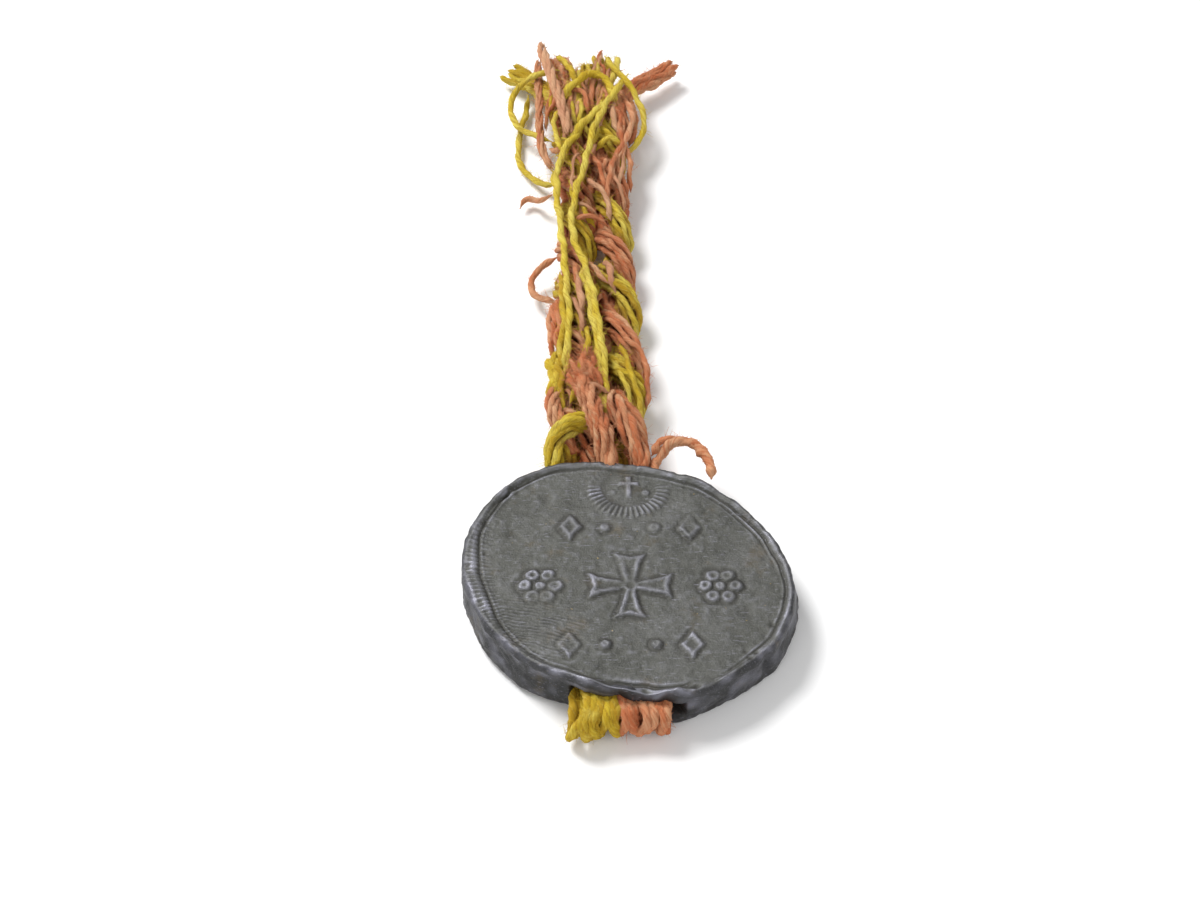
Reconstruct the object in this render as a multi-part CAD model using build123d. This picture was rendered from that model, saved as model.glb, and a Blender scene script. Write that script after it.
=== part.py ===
"""Papal lead seal on the remains of its cord of yellow and faded red yarn, in millimetres.

The seal is one struck disc of lead with a flat channel through it. Eleven yarns run down the
channel in its upper layer, turn in small loops at the foot of the seal and run back in the
lower layer. Outside the mouth they are gathered in four plies, two yellow and two red, which
make the two legs of the cord. Loose yarns lie over the legs, and the far ends are frayed.

The origin is under the middle of the disc, on the surface that it lies on. +Z is up, out of
the struck face, and +Y runs along the cord, away from the seal.
"""
import math
import os

from build123d import *

# The lead disc
seal_radius = 18.45
seal_stretch = 1.35
seal_long_axis = 147.0
seal_ripple = 0.16
ripple_corners = 6
ripple_turn = 40.0
seal_thickness = 5.8
edge_draw_in = 0.5
edge_height = 0.75
foot_draw_in = 0.85
foot_height = 0.6
rim_width = 1.15
rim_left_width = 0.95
rim_left_angle = 184.0
rim_left_spread = 26.0
field_depth = 0.4
outline_steps = 48
back_rim_width = 2.6
back_depth = 0.4

# Where the edge was hit: angle, how far it is pushed out or in, and the spread in degrees
hammer_marks = (
    (136.0, 0.55, 20.0),
    (207.0, 0.35, 11.0),
    (245.0, -0.5, 10.0),
    (312.0, -0.3, 14.0),
    (330.0, 0.2, 6.0),
    (20.0, 0.15, 7.0),
    (60.0, 0.12, 6.0),
)
foot_marks = ((303.0, -0.7, 15.0), (225.0, 0.3, 14.0))
foot_mark_height = 3.6

# The struck ornament on the face and on the back
relief_height = 0.34
back_relief_height = 0.3
glory_middle = (0.2, 13.9)
glory_inner = 3.3
glory_outer = 4.9
glory_rays = 21
glory_first_turn = 184.0
glory_last_turn = 356.0
glory_ray_width = 0.3
small_cross_height = 3.8
small_cross_span = 2.3
small_cross_arm = 0.62
small_pellet_radius = 0.45
small_pellet_across = 2.0
small_pellet_drop = 1.0
cross_middle = (0.3, -1.6)
cross_reach = 4.75
cross_notch_reach = 4.35
cross_waist_reach = 3.4
cross_foot_reach = 0.4
cross_arm_foot = 1.1
cross_arm_waist = 2.3
cross_arm_tip = 3.5
cross_boss_radius = 1.0
rosette_offset = 10.4
rosette_petals = 6
rosette_petal_radius = 0.8
rosette_ring_radius = 1.75
lozenge_half_width = 1.3
lozenge_half_height = 1.9
lozenge_across = 7.0
lozenge_rows = (7.3, -10.3)
pellet_radius = 0.62
row_pellet_across = 2.9
back_cross_height = 15.0
back_cross_span = 9.0
back_cross_arm = 1.3
back_ring_radius = 13.2
back_ring_width = 0.7

# The yarns in the channel
yarn_diameter = 1.1
yarn_gap = 0.05
layer_gap = 0.2
channel_clearance = 0.15
channel_floor = 1.65
mouth_x = -2.95
slot_x = -0.8
yellow_reaches = (3.9, 3.6, 3.0, 2.7, 2.8)
red_reaches = (2.9, 2.7, 2.8, 2.6, 2.7, 2.6)
loop_spread = 1.1
slot_standoff = 0.25
loop_low_bend = 0.3
loop_low_turn = 0.9
loop_high_bend = 0.45
loop_high_rise = 0.66
loop_tip_drop = 0.1
lip_width = 1.6
lip_rise = 0.3
lip_depth = 1.1
lip_rounding = 0.55
lip_length = 9.0
lip_inset = 0.9
lip_x = 2.0

# The four plies of the cord
ply_diameter = 2.8
ply_gap = 0.25
floor_gap = 0.1
hinge_clearance = 0.3
cord_fold_y = 56.0
ply_end_y = 87.0

# The loose yarns
thin_yarn_diameter = 0.9
curl_yarn_diameter = 0.7
stout_yarn_diameter = 1.5
frayed_end_diameter = 1.9
lie_gap = 0.08


def mark(angle, middle, push, spread):
    """Push of one hammer mark at an angle: a bell curve about its middle."""
    gap = (angle - middle + 180) % 360 - 180
    return push * math.exp(-((gap / spread) ** 2))


def outline_radius(angle, z=seal_thickness):
    """Radius of the hammered oval at an angle in degrees from +X, at height z."""
    oval = math.cos(math.radians(2 * (angle - seal_long_axis)))
    ripple = math.cos(math.radians(ripple_corners * angle + ripple_turn))
    low = max(0, 1 - z / foot_mark_height)
    hits = sum(mark(angle, *hit) for hit in hammer_marks)
    foot = low * sum(mark(angle, *hit) for hit in foot_marks)
    return seal_radius + seal_stretch * oval + seal_ripple * ripple + hits + foot


def outline_point(angle, inset, z, level):
    radius = outline_radius(angle, level) - inset
    return (radius * math.cos(math.radians(angle)), radius * math.sin(math.radians(angle)), z)


def outline_face(inset, z, level=seal_thickness, left_inset=0):
    """Flat face at height z, inside the oval that the disc has at a level, drawn in by inset.

    At the left it is drawn in further, by up to left_inset.
    """
    points = []
    for step in range(outline_steps):
        angle = 360 / outline_steps * step
        further = mark(angle, rim_left_angle, left_inset, rim_left_spread)
        points.append(outline_point(angle, inset + further, z, level))
    return make_face(Spline(*points, periodic=True))


loops = len(yellow_reaches) + len(red_reaches)
yarn_pitch = yarn_diameter + yarn_gap
channel_height = 2 * yarn_diameter + layer_gap + 2 * channel_clearance
channel_width = (loops - 1) * yarn_pitch + channel_height
channel_z = channel_floor + channel_height / 2
ply_pitch = ply_diameter + ply_gap
plait_z = floor_gap + ply_diameter / 2 + ply_pitch / 2
plait_top = plait_z + ply_pitch / 2 + ply_diameter / 2
wall_y = max(outline_point(angle, 0, 0, seal_thickness)[1] for angle in range(60, 121))
hinge_y = wall_y + hinge_clearance + ply_diameter / 2
yarn_end_y = hinge_y - ply_diameter / 2 - hinge_clearance
slot_y = min(outline_point(angle, 0, 0, seal_thickness)[1] for angle in range(240, 301))
run_x = (mouth_x - slot_x) / (wall_y - slot_y)


def channel_line_x(y):
    """Middle of the slanting channel at a distance y along the seal."""
    return slot_x + run_x * (y - slot_y)


def tube(points, diameter, label):
    """Round tube on straight runs, joined by arcs as large as each pair of runs allows."""
    radii = []
    corners = [Vector(*point) for point in points]
    for before, corner, after in zip(corners, corners[1:], corners[2:]):
        shorter = min((corner - before).length, (after - corner).length)
        turn = (corner - before).get_angle(after - corner)
        radii.append(0.45 * shorter / math.tan(math.radians(turn) / 2))
    path = FilletPolyline(*points, radius=radii)
    solid = sweep(Plane(origin=path @ 0, z_dir=path % 0) * Circle(diameter / 2), path=path)
    expected = math.pi * diameter**2 / 4 * path.length
    print(f"{label}: length {path.length:.1f}, least radius {min(radii):.2f}, "
          f"volume {solid.volume / expected:.4f} of section times length")
    return solid


def knuckle(x, y, z):
    """Half ball that closes the near end of a ply, centred on the fold that it turns about."""
    ball = Sphere(ply_diameter / 2, arc_size1=-90, arc_size2=0, align=(Align.NONE,) * 3)
    return Pos(x, y, z) * Rot(-90, 0, 0) * ball


def prism(sketch, z, height):
    return extrude(Pos(0, 0, z) * sketch, height)


def plain_cross(middle, height, span, arm):
    """Latin cross with its bar above the middle."""
    upright = Pos(*middle) * Rectangle(arm, height)
    bar = Pos(middle[0], middle[1] + height / 6) * Rectangle(span, arm)
    return upright + bar


def flared_cross():
    """Four notched arms that widen outwards round a boss."""
    arm = Polyline(
        (-cross_arm_foot / 2, cross_foot_reach),
        (-cross_arm_waist / 2, cross_waist_reach),
        (-cross_arm_tip / 2, cross_reach),
        (0, cross_notch_reach),
        (cross_arm_tip / 2, cross_reach),
        (cross_arm_waist / 2, cross_waist_reach),
        (cross_arm_foot / 2, cross_foot_reach),
        close=True,
    )
    shape = Pos(*cross_middle) * Circle(cross_boss_radius)
    for quarter in (0, 90, 180, 270):
        shape += Pos(*cross_middle) * Rot(0, 0, quarter) * make_face(arm)
    return shape


def rosette(x, y):
    """Ring of round petals about a pellet."""
    shapes = [Pos(x, y) * Circle(pellet_radius)]
    for petal in range(rosette_petals):
        turn = math.radians(360 / rosette_petals * petal)
        petal_x = x + rosette_ring_radius * math.cos(turn)
        petal_y = y + rosette_ring_radius * math.sin(turn)
        shapes.append(Pos(petal_x, petal_y) * Circle(rosette_petal_radius))
    return shapes


def lozenge(x, y):
    return Pos(x, y) * make_face(Polyline(
        (-lozenge_half_width, 0),
        (0, lozenge_half_height),
        (lozenge_half_width, 0),
        (0, -lozenge_half_height),
        close=True,
    ))


def glory():
    """Rays below the small cross, spread over the lower half of a ring, and its two pellets."""
    middle_radius = (glory_inner + glory_outer) / 2
    rays = []
    for ray in range(glory_rays):
        turn = glory_first_turn + (glory_last_turn - glory_first_turn) * ray / (glory_rays - 1)
        x = glory_middle[0] + middle_radius * math.cos(math.radians(turn))
        y = glory_middle[1] + middle_radius * math.sin(math.radians(turn))
        rays.append(Pos(x, y) * Rot(0, 0, turn) * Rectangle(glory_outer - glory_inner, glory_ray_width))
    for side in (-1, 1):
        x = glory_middle[0] + side * small_pellet_across
        rays.append(Pos(x, glory_middle[1] - small_pellet_drop) * Circle(small_pellet_radius))
    return rays


def lip_bar():
    """Round-ended bar along X with its upper edge rounded, the lead squeezed up over the slot."""
    bar = extrude(SlotOverall(lip_length, lip_width), lip_depth)
    upper_edges = bar.edges().group_by(Axis.Z)[-1]
    return fillet(upper_edges, lip_rounding)


def lead_seal():
    """Struck disc with its rims, ornament, channel and the lip over the lower slot."""
    levels = (
        (foot_draw_in, 0),
        (foot_draw_in / 3, foot_height / 2),
        (0, foot_height),
        (0, foot_mark_height),
        (0, seal_thickness - edge_height),
        (edge_draw_in / 4, seal_thickness - edge_height / 3),
        (edge_draw_in, seal_thickness),
    )
    disc = loft([outline_face(inset, z, z) for inset, z in levels], ruled=True)
    field_z = seal_thickness - field_depth
    face = [flared_cross()] + glory()
    face.append(plain_cross(glory_middle, small_cross_height, small_cross_span, small_cross_arm))
    for side in (-1, 1):
        face += rosette(cross_middle[0] + side * rosette_offset, cross_middle[1])
        for y in lozenge_rows:
            face.append(lozenge(cross_middle[0] + side * lozenge_across, y))
            face.append(Pos(cross_middle[0] + side * row_pellet_across, y) * Circle(pellet_radius))
    field = outline_face(rim_width, 0, left_inset=rim_left_width)
    disc -= prism(field, field_z + relief_height, seal_thickness)
    disc -= prism(field - face, field_z, seal_thickness)

    back_field = outline_face(back_rim_width, 0, level=0)
    ring = Circle(back_ring_radius) - Circle(back_ring_radius - back_ring_width)
    cross = plain_cross((0, 0), back_cross_height, back_cross_span, back_cross_arm)
    below = back_depth - seal_thickness
    disc -= prism(back_field, below - back_relief_height, seal_thickness)
    disc -= prism(back_field - [ring, cross], below, seal_thickness)

    lip_z = seal_thickness + lip_rise - lip_depth
    disc += Pos(lip_x, slot_y + lip_width / 2 + lip_inset, lip_z) * lip_bar()

    across = math.hypot(mouth_x - slot_x, wall_y - slot_y)
    start = Plane(
        origin=(channel_line_x(2 * slot_y), 2 * slot_y, channel_z),
        x_dir=(1, -run_x, 0),
        z_dir=(run_x, 1, 0),
    )
    channel = extrude(start * SlotOverall(channel_width, channel_height), 3 * across)
    return disc - channel


def loop_route(number, reach):
    """Lower run, a small loop past the slot and the upper run back to the mouth."""
    offset = (number - (loops - 1) / 2) * yarn_pitch
    low_z = channel_z - (yarn_diameter + layer_gap) / 2
    high_z = channel_z + (yarn_diameter + layer_gap) / 2
    stations = (
        (yarn_end_y, low_z),
        (slot_y - slot_standoff, low_z),
        (slot_y - slot_standoff - loop_low_bend * reach, low_z - loop_spread),
        (slot_y - loop_low_turn * reach, low_z - loop_spread),
        (slot_y - reach, high_z - loop_tip_drop),
        (slot_y - loop_high_bend * reach, high_z + loop_high_rise),
        (slot_y - slot_standoff, high_z),
        (yarn_end_y, high_z),
    )
    return [(channel_line_x(y) + offset, y, z) for y, z in stations]


parts = {"lead_seal": lead_seal()}

# The yarn loops through the channel, yellow on the left, red on the right
for number, reach in enumerate(yellow_reaches):
    name = f"yellow_channel_yarn_{number + 1}"
    parts[name] = tube(loop_route(number, reach), yarn_diameter, name)
for number, reach in enumerate(red_reaches[:-1]):
    name = f"red_channel_yarn_{number + 1}"
    parts[name] = tube(loop_route(len(yellow_reaches) + number, reach), yarn_diameter, name)

# The last red yarn comes back out of the mouth as a loose tail over the rim of the seal
rim_top = seal_thickness + yarn_diameter / 2 + lie_gap
tail_route = loop_route(loops - 1, red_reaches[-1]) + [
    (3.95, 19.6, channel_z + 1.15),
    (4.7, 21.0, channel_z + 1.9),
    (6.3, 21.3, rim_top - 1.1),
    (8.1, 20.7, rim_top - 0.9),
    (9.2, 18.9, rim_top - 0.4),
    (9.9, 16.6, rim_top),
    (10.0, 14.2, rim_top + 0.05),
]
parts["red_tail_yarn"] = tube(tail_route, yarn_diameter, "red_tail_yarn")

# The plies, split at the fold halfway along the cord: shift of the leg's line, y, angle
near_end_y = cord_fold_y - ply_diameter / 2 - hinge_clearance
near_places = [
    (0, hinge_y, 180),
    (0, hinge_y + 3.4, 180),
    (-0.1, 27.6, 158),
    (-0.2, 32.0, 128),
    (-0.35, 36.5, 98),
    (-0.5, 41.0, 66),
    (-0.65, 45.4, 36),
    (-0.8, 49.6, 13),
    (-0.9, near_end_y, 3),
]
far_places = [
    (-0.9, cord_fold_y, 180),
    (-0.9, cord_fold_y + 3.4, 180),
    (-1.0, 63.6, 158),
    (-1.15, 67.8, 128),
    (-1.3, 72.0, 98),
    (-1.45, 76.2, 66),
    (-1.65, 80.4, 36),
    (-1.85, 84.2, 13),
    (-2.0, ply_end_y, 3),
]


def ply(places, leg_x, lead, label):
    """One ply of a leg: it starts on the left and goes over, or half a turn behind, and under."""
    route = []
    for shift, y, angle in places:
        turn = math.radians(angle + lead)
        x = leg_x + shift + ply_pitch / 2 * math.cos(turn)
        route.append((x, y, plait_z + ply_pitch / 2 * math.sin(turn)))
    return knuckle(*route[0]) + tube(route, ply_diameter, label)


for side, leg_x in (("left", mouth_x - ply_pitch), ("right", mouth_x + ply_pitch)):
    for stretch, places, over in (("near", near_places, "yellow"), ("far", far_places, "red")):
        for colour in ("yellow", "red"):
            name = f"{colour}_ply_{side}_{stretch}"
            parts[name] = ply(places, leg_x, 0 if colour == over else 180, name)

# Loose yarns that lie over the legs, and loops and strands beside them
over = plait_top + thin_yarn_diameter / 2 + lie_gap
over_stout = plait_top + stout_yarn_diameter / 2 + lie_gap
beside = plait_z - 1.2
loose = {
    "yellow_over_yarn_near": (thin_yarn_diameter, [
        (-7.6, 51.3, over - 0.5),
        (-7.5, 47.6, over),
        (-6.9, 41.0, over),
        (-7.4, 35.5, over + 0.05),
    ]),
    "yellow_cross_yarn_near": (thin_yarn_diameter, [
        (-5.0, 50.9, over - 0.4),
        (-4.1, 46.2, over),
        (-3.4, 40.5, over),
        (-2.6, 34.0, over),
        (-2.4, 26.6, over - 0.9),
    ]),
    "pale_red_short_yarn": (thin_yarn_diameter, [
        (-6.1, 49.0, over),
        (-5.5, 45.6, over),
        (-5.6, 42.4, over + 0.05),
    ]),
    "red_torn_yarn": (yarn_diameter, [
        (-5.9, 28.6, over + 0.05),
        (-5.5, 32.2, over + 0.15),
        (-4.9, 36.2, over + 0.2),
    ]),
    "red_side_loop": (thin_yarn_diameter, [
        (-10.8, 54.3, beside + 0.9),
        (-12.1, 52.8, beside + 0.2),
        (-12.0, 50.6, beside),
        (-10.4, 48.6, beside + 0.6),
    ]),
    "yellow_over_yarn_far": (thin_yarn_diameter, [
        (-8.3, 60.7, over - 0.3),
        (-8.9, 64.4, over),
        (-8.8, 68.6, over),
        (-7.9, 73.4, over + 0.05),
    ]),
    "yellow_cross_yarn_far": (thin_yarn_diameter, [
        (-6.9, 60.4, over - 0.3),
        (-6.2, 65.6, over),
        (-5.0, 70.4, over),
        (-4.4, 75.6, over),
        (-3.1, 80.2, over),
        (-1.2, 84.4, over + 0.1),
    ]),
    "red_curl": (curl_yarn_diameter, [
        (-13.8, 67.2, 1.0),
        (-13.2, 68.9, 1.3),
        (-11.8, 68.6, 1.5),
        (-11.3, 66.9, 2.2),
        (-9.85, 67.2, 3.4),
    ]),
    "yellow_loop_left_upper": (thin_yarn_diameter, [
        (-10.6, 90.3, 5.2),
        (-13.0, 89.8, 4.2),
        (-15.1, 87.6, 2.8),
        (-15.5, 85.0, 2.6),
        (-14.5, 82.2, 2.6),
        (-12.6, 79.9, 2.7),
    ]),
    "yellow_loop_left_lower": (thin_yarn_diameter, [
        (-12.9, 88.0, 1.2),
        (-13.8, 83.2, 0.9),
        (-14.4, 78.2, 0.8),
        (-13.3, 74.6, 0.9),
        (-11.6, 71.6, 1.4),
        (-10.5, 70.3, 2.0),
    ]),
    "red_strand_left": (yarn_diameter, [
        (-11.7, 94.6, 3.3),
        (-11.5, 88.6, 3.6),
        (-11.3, 82.2, 3.4),
        (-11.2, 76.6, 3.0),
        (-10.6, 73.4, 2.6),
    ]),
    "pale_red_strand": (stout_yarn_diameter, [
        (-10.7, 91.0, over_stout - 0.2),
        (-9.5, 86.4, over_stout),
        (-8.1, 80.8, over_stout),
        (-7.4, 76.3, over_stout + 0.05),
    ]),
    "yellow_loop_right": (thin_yarn_diameter, [
        (-2.6, 91.6, over),
        (-0.7, 88.0, over + 0.2),
        (2.0, 84.2, over - 0.8),
        (2.9, 79.6, plait_z + 1.2),
        (1.35, 75.4, plait_z + 1.0),
    ]),
    "yellow_frayed_end_left": (frayed_end_diameter, [
        (-10.9, ply_end_y + 2.0, 1.7),
        (-13.0, ply_end_y + 4.5, 1.3),
        (-15.9, ply_end_y + 7.2, 1.05),
    ]),
    "red_frayed_end_left": (frayed_end_diameter, [
        (-8.6, ply_end_y + 1.0, 4.0),
        (-8.4, ply_end_y + 3.6, 3.0),
        (-8.9, ply_end_y + 7.8, 1.6),
    ]),
    "yellow_frayed_end_right": (frayed_end_diameter, [
        (-3.2, ply_end_y + 1.0, 3.2),
        (-3.6, ply_end_y + 3.6, 2.2),
        (-2.9, ply_end_y + 7.8, 1.4),
    ]),
    "red_frayed_end_right": (frayed_end_diameter, [
        (0.3, ply_end_y + 1.1, 3.2),
        (2.6, ply_end_y + 3.4, 2.4),
        (6.9, ply_end_y + 7.0, 1.4),
    ]),
}
for name, (diameter, route) in loose.items():
    parts[name] = tube(route, diameter, name)

os.makedirs("parts", exist_ok=True)
for name, solid in parts.items():
    export_step(solid, f"parts/{name}.step")
print(f"{len(parts)} nodes, lead {parts['lead_seal'].volume / 1000:.2f} cm3, "
      f"fold at the mouth y {hinge_y:.3f} z {plait_z:.3f}, fold halfway y {cord_fold_y:.3f}")
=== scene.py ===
"""Papal lead seal with the torn remains of its cord, dressed for rendering.

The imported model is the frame: one lead seal, eleven yarns in its channel, the plies of the cord
and its loose yarns. Every piece made here stands for one or more of those nodes. Shapes are
worked out in millimetres and put into the meshes in metres.
"""

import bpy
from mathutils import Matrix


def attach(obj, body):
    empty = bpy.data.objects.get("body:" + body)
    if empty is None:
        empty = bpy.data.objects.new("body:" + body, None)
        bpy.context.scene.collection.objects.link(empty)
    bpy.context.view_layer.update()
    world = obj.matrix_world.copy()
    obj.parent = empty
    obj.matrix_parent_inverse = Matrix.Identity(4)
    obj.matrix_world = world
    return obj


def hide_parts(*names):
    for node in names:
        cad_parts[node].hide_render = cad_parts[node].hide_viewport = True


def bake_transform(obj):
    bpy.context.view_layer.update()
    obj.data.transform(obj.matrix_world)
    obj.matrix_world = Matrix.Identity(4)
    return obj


bl_info = {
    "name": "Papal bulla seal",
    "version": (1, 0, 0),
    "blender": (4, 5, 0),
    "location": "3D View > Sidebar > Bulla",
    "description": "Struck lead seal on a torn cord of yellow and faded red yarn",
    "category": "Object",
}

import math

import bpy
import numpy as np

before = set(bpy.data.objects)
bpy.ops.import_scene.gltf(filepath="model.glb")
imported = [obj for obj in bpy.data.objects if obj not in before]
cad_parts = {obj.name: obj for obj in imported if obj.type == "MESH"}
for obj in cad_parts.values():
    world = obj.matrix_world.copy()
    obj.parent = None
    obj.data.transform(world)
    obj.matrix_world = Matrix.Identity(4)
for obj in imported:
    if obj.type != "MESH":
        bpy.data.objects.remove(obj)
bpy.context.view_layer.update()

MM = 0.001
SEAL_BODY = "seal"
NEAR_BODY = "cord_near"
FAR_BODY = "cord_far"

# The disc, in millimetres
THICKNESS = 5.8
FIELD_DEPTH = 0.4
CHANNEL_Z = 3.0
CHANNEL_HALF_HEIGHT = 1.35
MOUTH_X = -2.95
SLOT_X = -0.8
WALL_Y = 18.13
LOOPS = 11
YARN_PITCH = 1.15
LOW_Z = 2.35
HIGH_Z = 3.65

# The cord's legs: shift of their middle and distance along the cord, as in the solids
PLAIT_Z = 3.025
PLY_PITCH = 3.05
LEG_STATIONS = (
    (0, 16.2), (0, 19.835), (0, 23.235), (-0.1, 27.6), (-0.2, 32.0), (-0.35, 36.5), (-0.5, 41.0),
    (-0.65, 45.4), (-0.8, 49.6), (-0.9, 54.3), (-0.9, 59.4), (-1.0, 63.6), (-1.15, 67.8),
    (-1.3, 72.0), (-1.45, 76.2), (-1.65, 80.4), (-1.85, 84.2), (-2.0, 88.6),
)
SPLIT_Y = 47.0

# How finely the surfaces are cut: cells across the disc, yarn rings and knots of a loose fibre
FACE_CELLS = 256
BACK_CELLS = 200
YARN_STEP = 0.2
YARN_SIDES = 12
HAIR_KNOTS = 4
HAIR_SIDES = 3

# Yarns: radius of a loose fibre, least height over the floor, and the upward direction that sets how their
# rings are turned
HAIR_RADIUS = 0.038
LEAST_HEIGHT = 0.02
UP = (0, 0, 1)

# Outline of the disc: mean radius, stretch, long axis in degrees, ripple, and where it was hit
# (angle, push out, spread in degrees)
DISC_RADIUS = 18.45
DISC_STRETCH = 1.35
LONG_AXIS = 147
RIPPLE = 0.16
HAMMER_MARKS = (
    (136, 0.55, 20), (207, 0.35, 11), (245, -0.5, 10), (312, -0.3, 14),
    (330, 0.2, 6), (20, 0.15, 7), (60, 0.12, 6),
)
# Degrees round the edge to millimetres along it, on the face and on the wall
EDGE_SCALE = 0.31
WALL_SCALE = 0.32

# The struck ornament: its middle, one arm of the cross, and the places of the other pieces
ORNAMENT_X = 0.3
ORNAMENT_Y = -1.6
CROSS_ARM = ((-0.55, 0.4), (-1.15, 3.4), (-1.75, 4.75), (0.0, 4.35), (1.75, 4.75), (1.15, 3.4), (0.55, 0.4))
ROSETTE_OFFSET = 10.4
PETAL_RING = 1.75
LOZENGE_OFFSET = 7.0
LOZENGE_WIDTH = 1.3
LOZENGE_HEIGHT = 1.9
LOZENGE_ROWS = (7.3, -10.3)
GLORY_X = 0.2
GLORY_Y = 13.9

# Damage on the face: x, y, size and depth of each dent, and the number of small nicks at the edge
DENTS = (
    (6.8, -9.2, 0.8, 0.12), (-13.6, 6.3, 0.9, 0.12), (9.7, 8.6, 0.5, 0.08),
    (-6.0, -13.5, 0.7, 0.1), (13.4, -5.2, 1.1, 0.12), (4.4, 4.2, 0.5, 0.07),
    (-9.6, 11.9, 0.8, 0.12), (15.8, 2.6, 0.6, 0.1), (-3.0, 3.6, 0.4, 0.06),
)
NICKS = 34


def ease(low, high, value):
    """Smooth step from 0 at low to 1 at high: t squared times (3 - 2t)."""
    part = np.clip((value - low) / (high - low), 0, 1)
    return part * part * (3 - 2 * part)


def bump(value, middle, spread):
    """Bell curve of height 1."""
    return np.exp(-((value - middle) / spread) ** 2)


def noise(x, y, cell, seed):
    """Smooth random field from -1 to 1: random values on a square lattice, eased between knots."""
    table = np.random.default_rng(seed).uniform(-1, 1, (64, 64))
    grid_x = x / cell + 31.7
    grid_y = y / cell + 17.3
    column = np.floor(grid_x).astype(int)
    row = np.floor(grid_y).astype(int)
    part_x = ease(0, 1, grid_x - column)
    part_y = ease(0, 1, grid_y - row)
    low = table[column % 64, row % 64] * (1 - part_x) + table[(column + 1) % 64, row % 64] * part_x
    high = (table[column % 64, (row + 1) % 64] * (1 - part_x)
            + table[(column + 1) % 64, (row + 1) % 64] * part_x)
    return low * (1 - part_y) + high * part_y


def angle_gap(angle, middle):
    """Difference of two angles in degrees, from -180 to 180."""
    return (angle - middle + 180) % 360 - 180


def seal_radius(angle):
    """Outline of the disc: an oval with six faint corners, pushed out or in where it was hit."""
    radius = DISC_RADIUS + DISC_STRETCH * np.cos(np.radians(2 * (angle - LONG_AXIS)))
    radius = radius + RIPPLE * np.cos(np.radians(6 * angle + 40))
    for middle, push, spread in HAMMER_MARKS:
        radius = radius + push * bump(angle_gap(angle, middle), 0, spread)
    return radius


def polygon_distance(x, y, corners):
    """Signed distance to a polygon, negative inside: the nearest edge, and edge crossings."""
    inside = np.zeros(x.shape, bool)
    nearest = np.full(x.shape, 1e9)
    for (ax, ay), (bx, by) in zip(corners, corners[1:] + corners[:1]):
        ex, ey = bx - ax, by - ay
        along = np.clip(((x - ax) * ex + (y - ay) * ey) / (ex * ex + ey * ey), 0, 1)
        nearest = np.minimum(nearest, np.hypot(x - ax - along * ex, y - ay - along * ey))
        if by != ay:
            crosses = ((ay > y) != (by > y)) & (x < ex * (y - ay) / (by - ay) + ax)
            inside ^= crosses
    return np.where(inside, -nearest, nearest)


def ornament_distance(x, y):
    """Signed distance to the struck ornament: flared cross, rosettes and lozenges."""
    distance = np.full(x.shape, 1e9)
    for turn in (0, 90, 180, 270):
        cos, sin = math.cos(math.radians(turn)), math.sin(math.radians(turn))
        corners = [(ORNAMENT_X + cos * px - sin * py, ORNAMENT_Y + sin * px + cos * py)
                   for px, py in CROSS_ARM]
        distance = np.minimum(distance, polygon_distance(x, y, corners))
    distance = np.minimum(distance, np.hypot(x - ORNAMENT_X, y - ORNAMENT_Y) - 1.0)
    for side in (-1, 1):
        rosette_x = ORNAMENT_X + side * ROSETTE_OFFSET
        distance = np.minimum(distance, np.hypot(x - rosette_x, y - ORNAMENT_Y) - 0.62)
        for petal in range(6):
            turn = math.radians(60 * petal)
            petal_x = rosette_x + PETAL_RING * math.cos(turn)
            petal_y = ORNAMENT_Y + PETAL_RING * math.sin(turn)
            distance = np.minimum(distance, np.hypot(x - petal_x, y - petal_y) - 0.8)
        for row in LOZENGE_ROWS:
            lozenge_x = ORNAMENT_X + side * LOZENGE_OFFSET
            corners = [(lozenge_x - LOZENGE_WIDTH, row), (lozenge_x, row + LOZENGE_HEIGHT),
                       (lozenge_x + LOZENGE_WIDTH, row), (lozenge_x, row - LOZENGE_HEIGHT)]
            distance = np.minimum(distance, polygon_distance(x, y, corners))
            distance = np.minimum(distance, np.hypot(x - ORNAMENT_X - side * 2.9, y - row) - 0.6)
    return distance


def glory_distance(x, y):
    """Signed distance to the small cross and the two pellets inside the glory."""
    upright = np.maximum(np.abs(x - GLORY_X) - 0.32, np.abs(y - 13.6) - 1.9)
    bar = np.maximum(np.abs(x - GLORY_X) - 1.15, np.abs(y - 14.3) - 0.3)
    distance = np.minimum(upright, bar)
    for side in (-1, 1):
        distance = np.minimum(distance, np.hypot(x - GLORY_X - side * 2.0, y - 12.9) - 0.45)
    return distance


def glory_rays(x, y):
    """Short rays on the lower part of a ring, 1 on a ray and 0 between, thinner towards the tip."""
    away = np.hypot(x - GLORY_X, y - GLORY_Y)
    turn = np.degrees(np.arctan2(y - GLORY_Y, x - GLORY_X))
    rays_in_quarter = 10.5
    phase = np.abs(((turn * rays_in_quarter / 90) % 1) - 0.5) * 2
    ray = ease(0.15, 0.75, phase)
    length = ease(3.15, 3.5, away) * (1 - ease(4.5, 5.3, away))
    lower = 1 - ease(60, 82, np.abs(angle_gap(turn, -90)) * 0.82)
    return ray * length * lower


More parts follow.
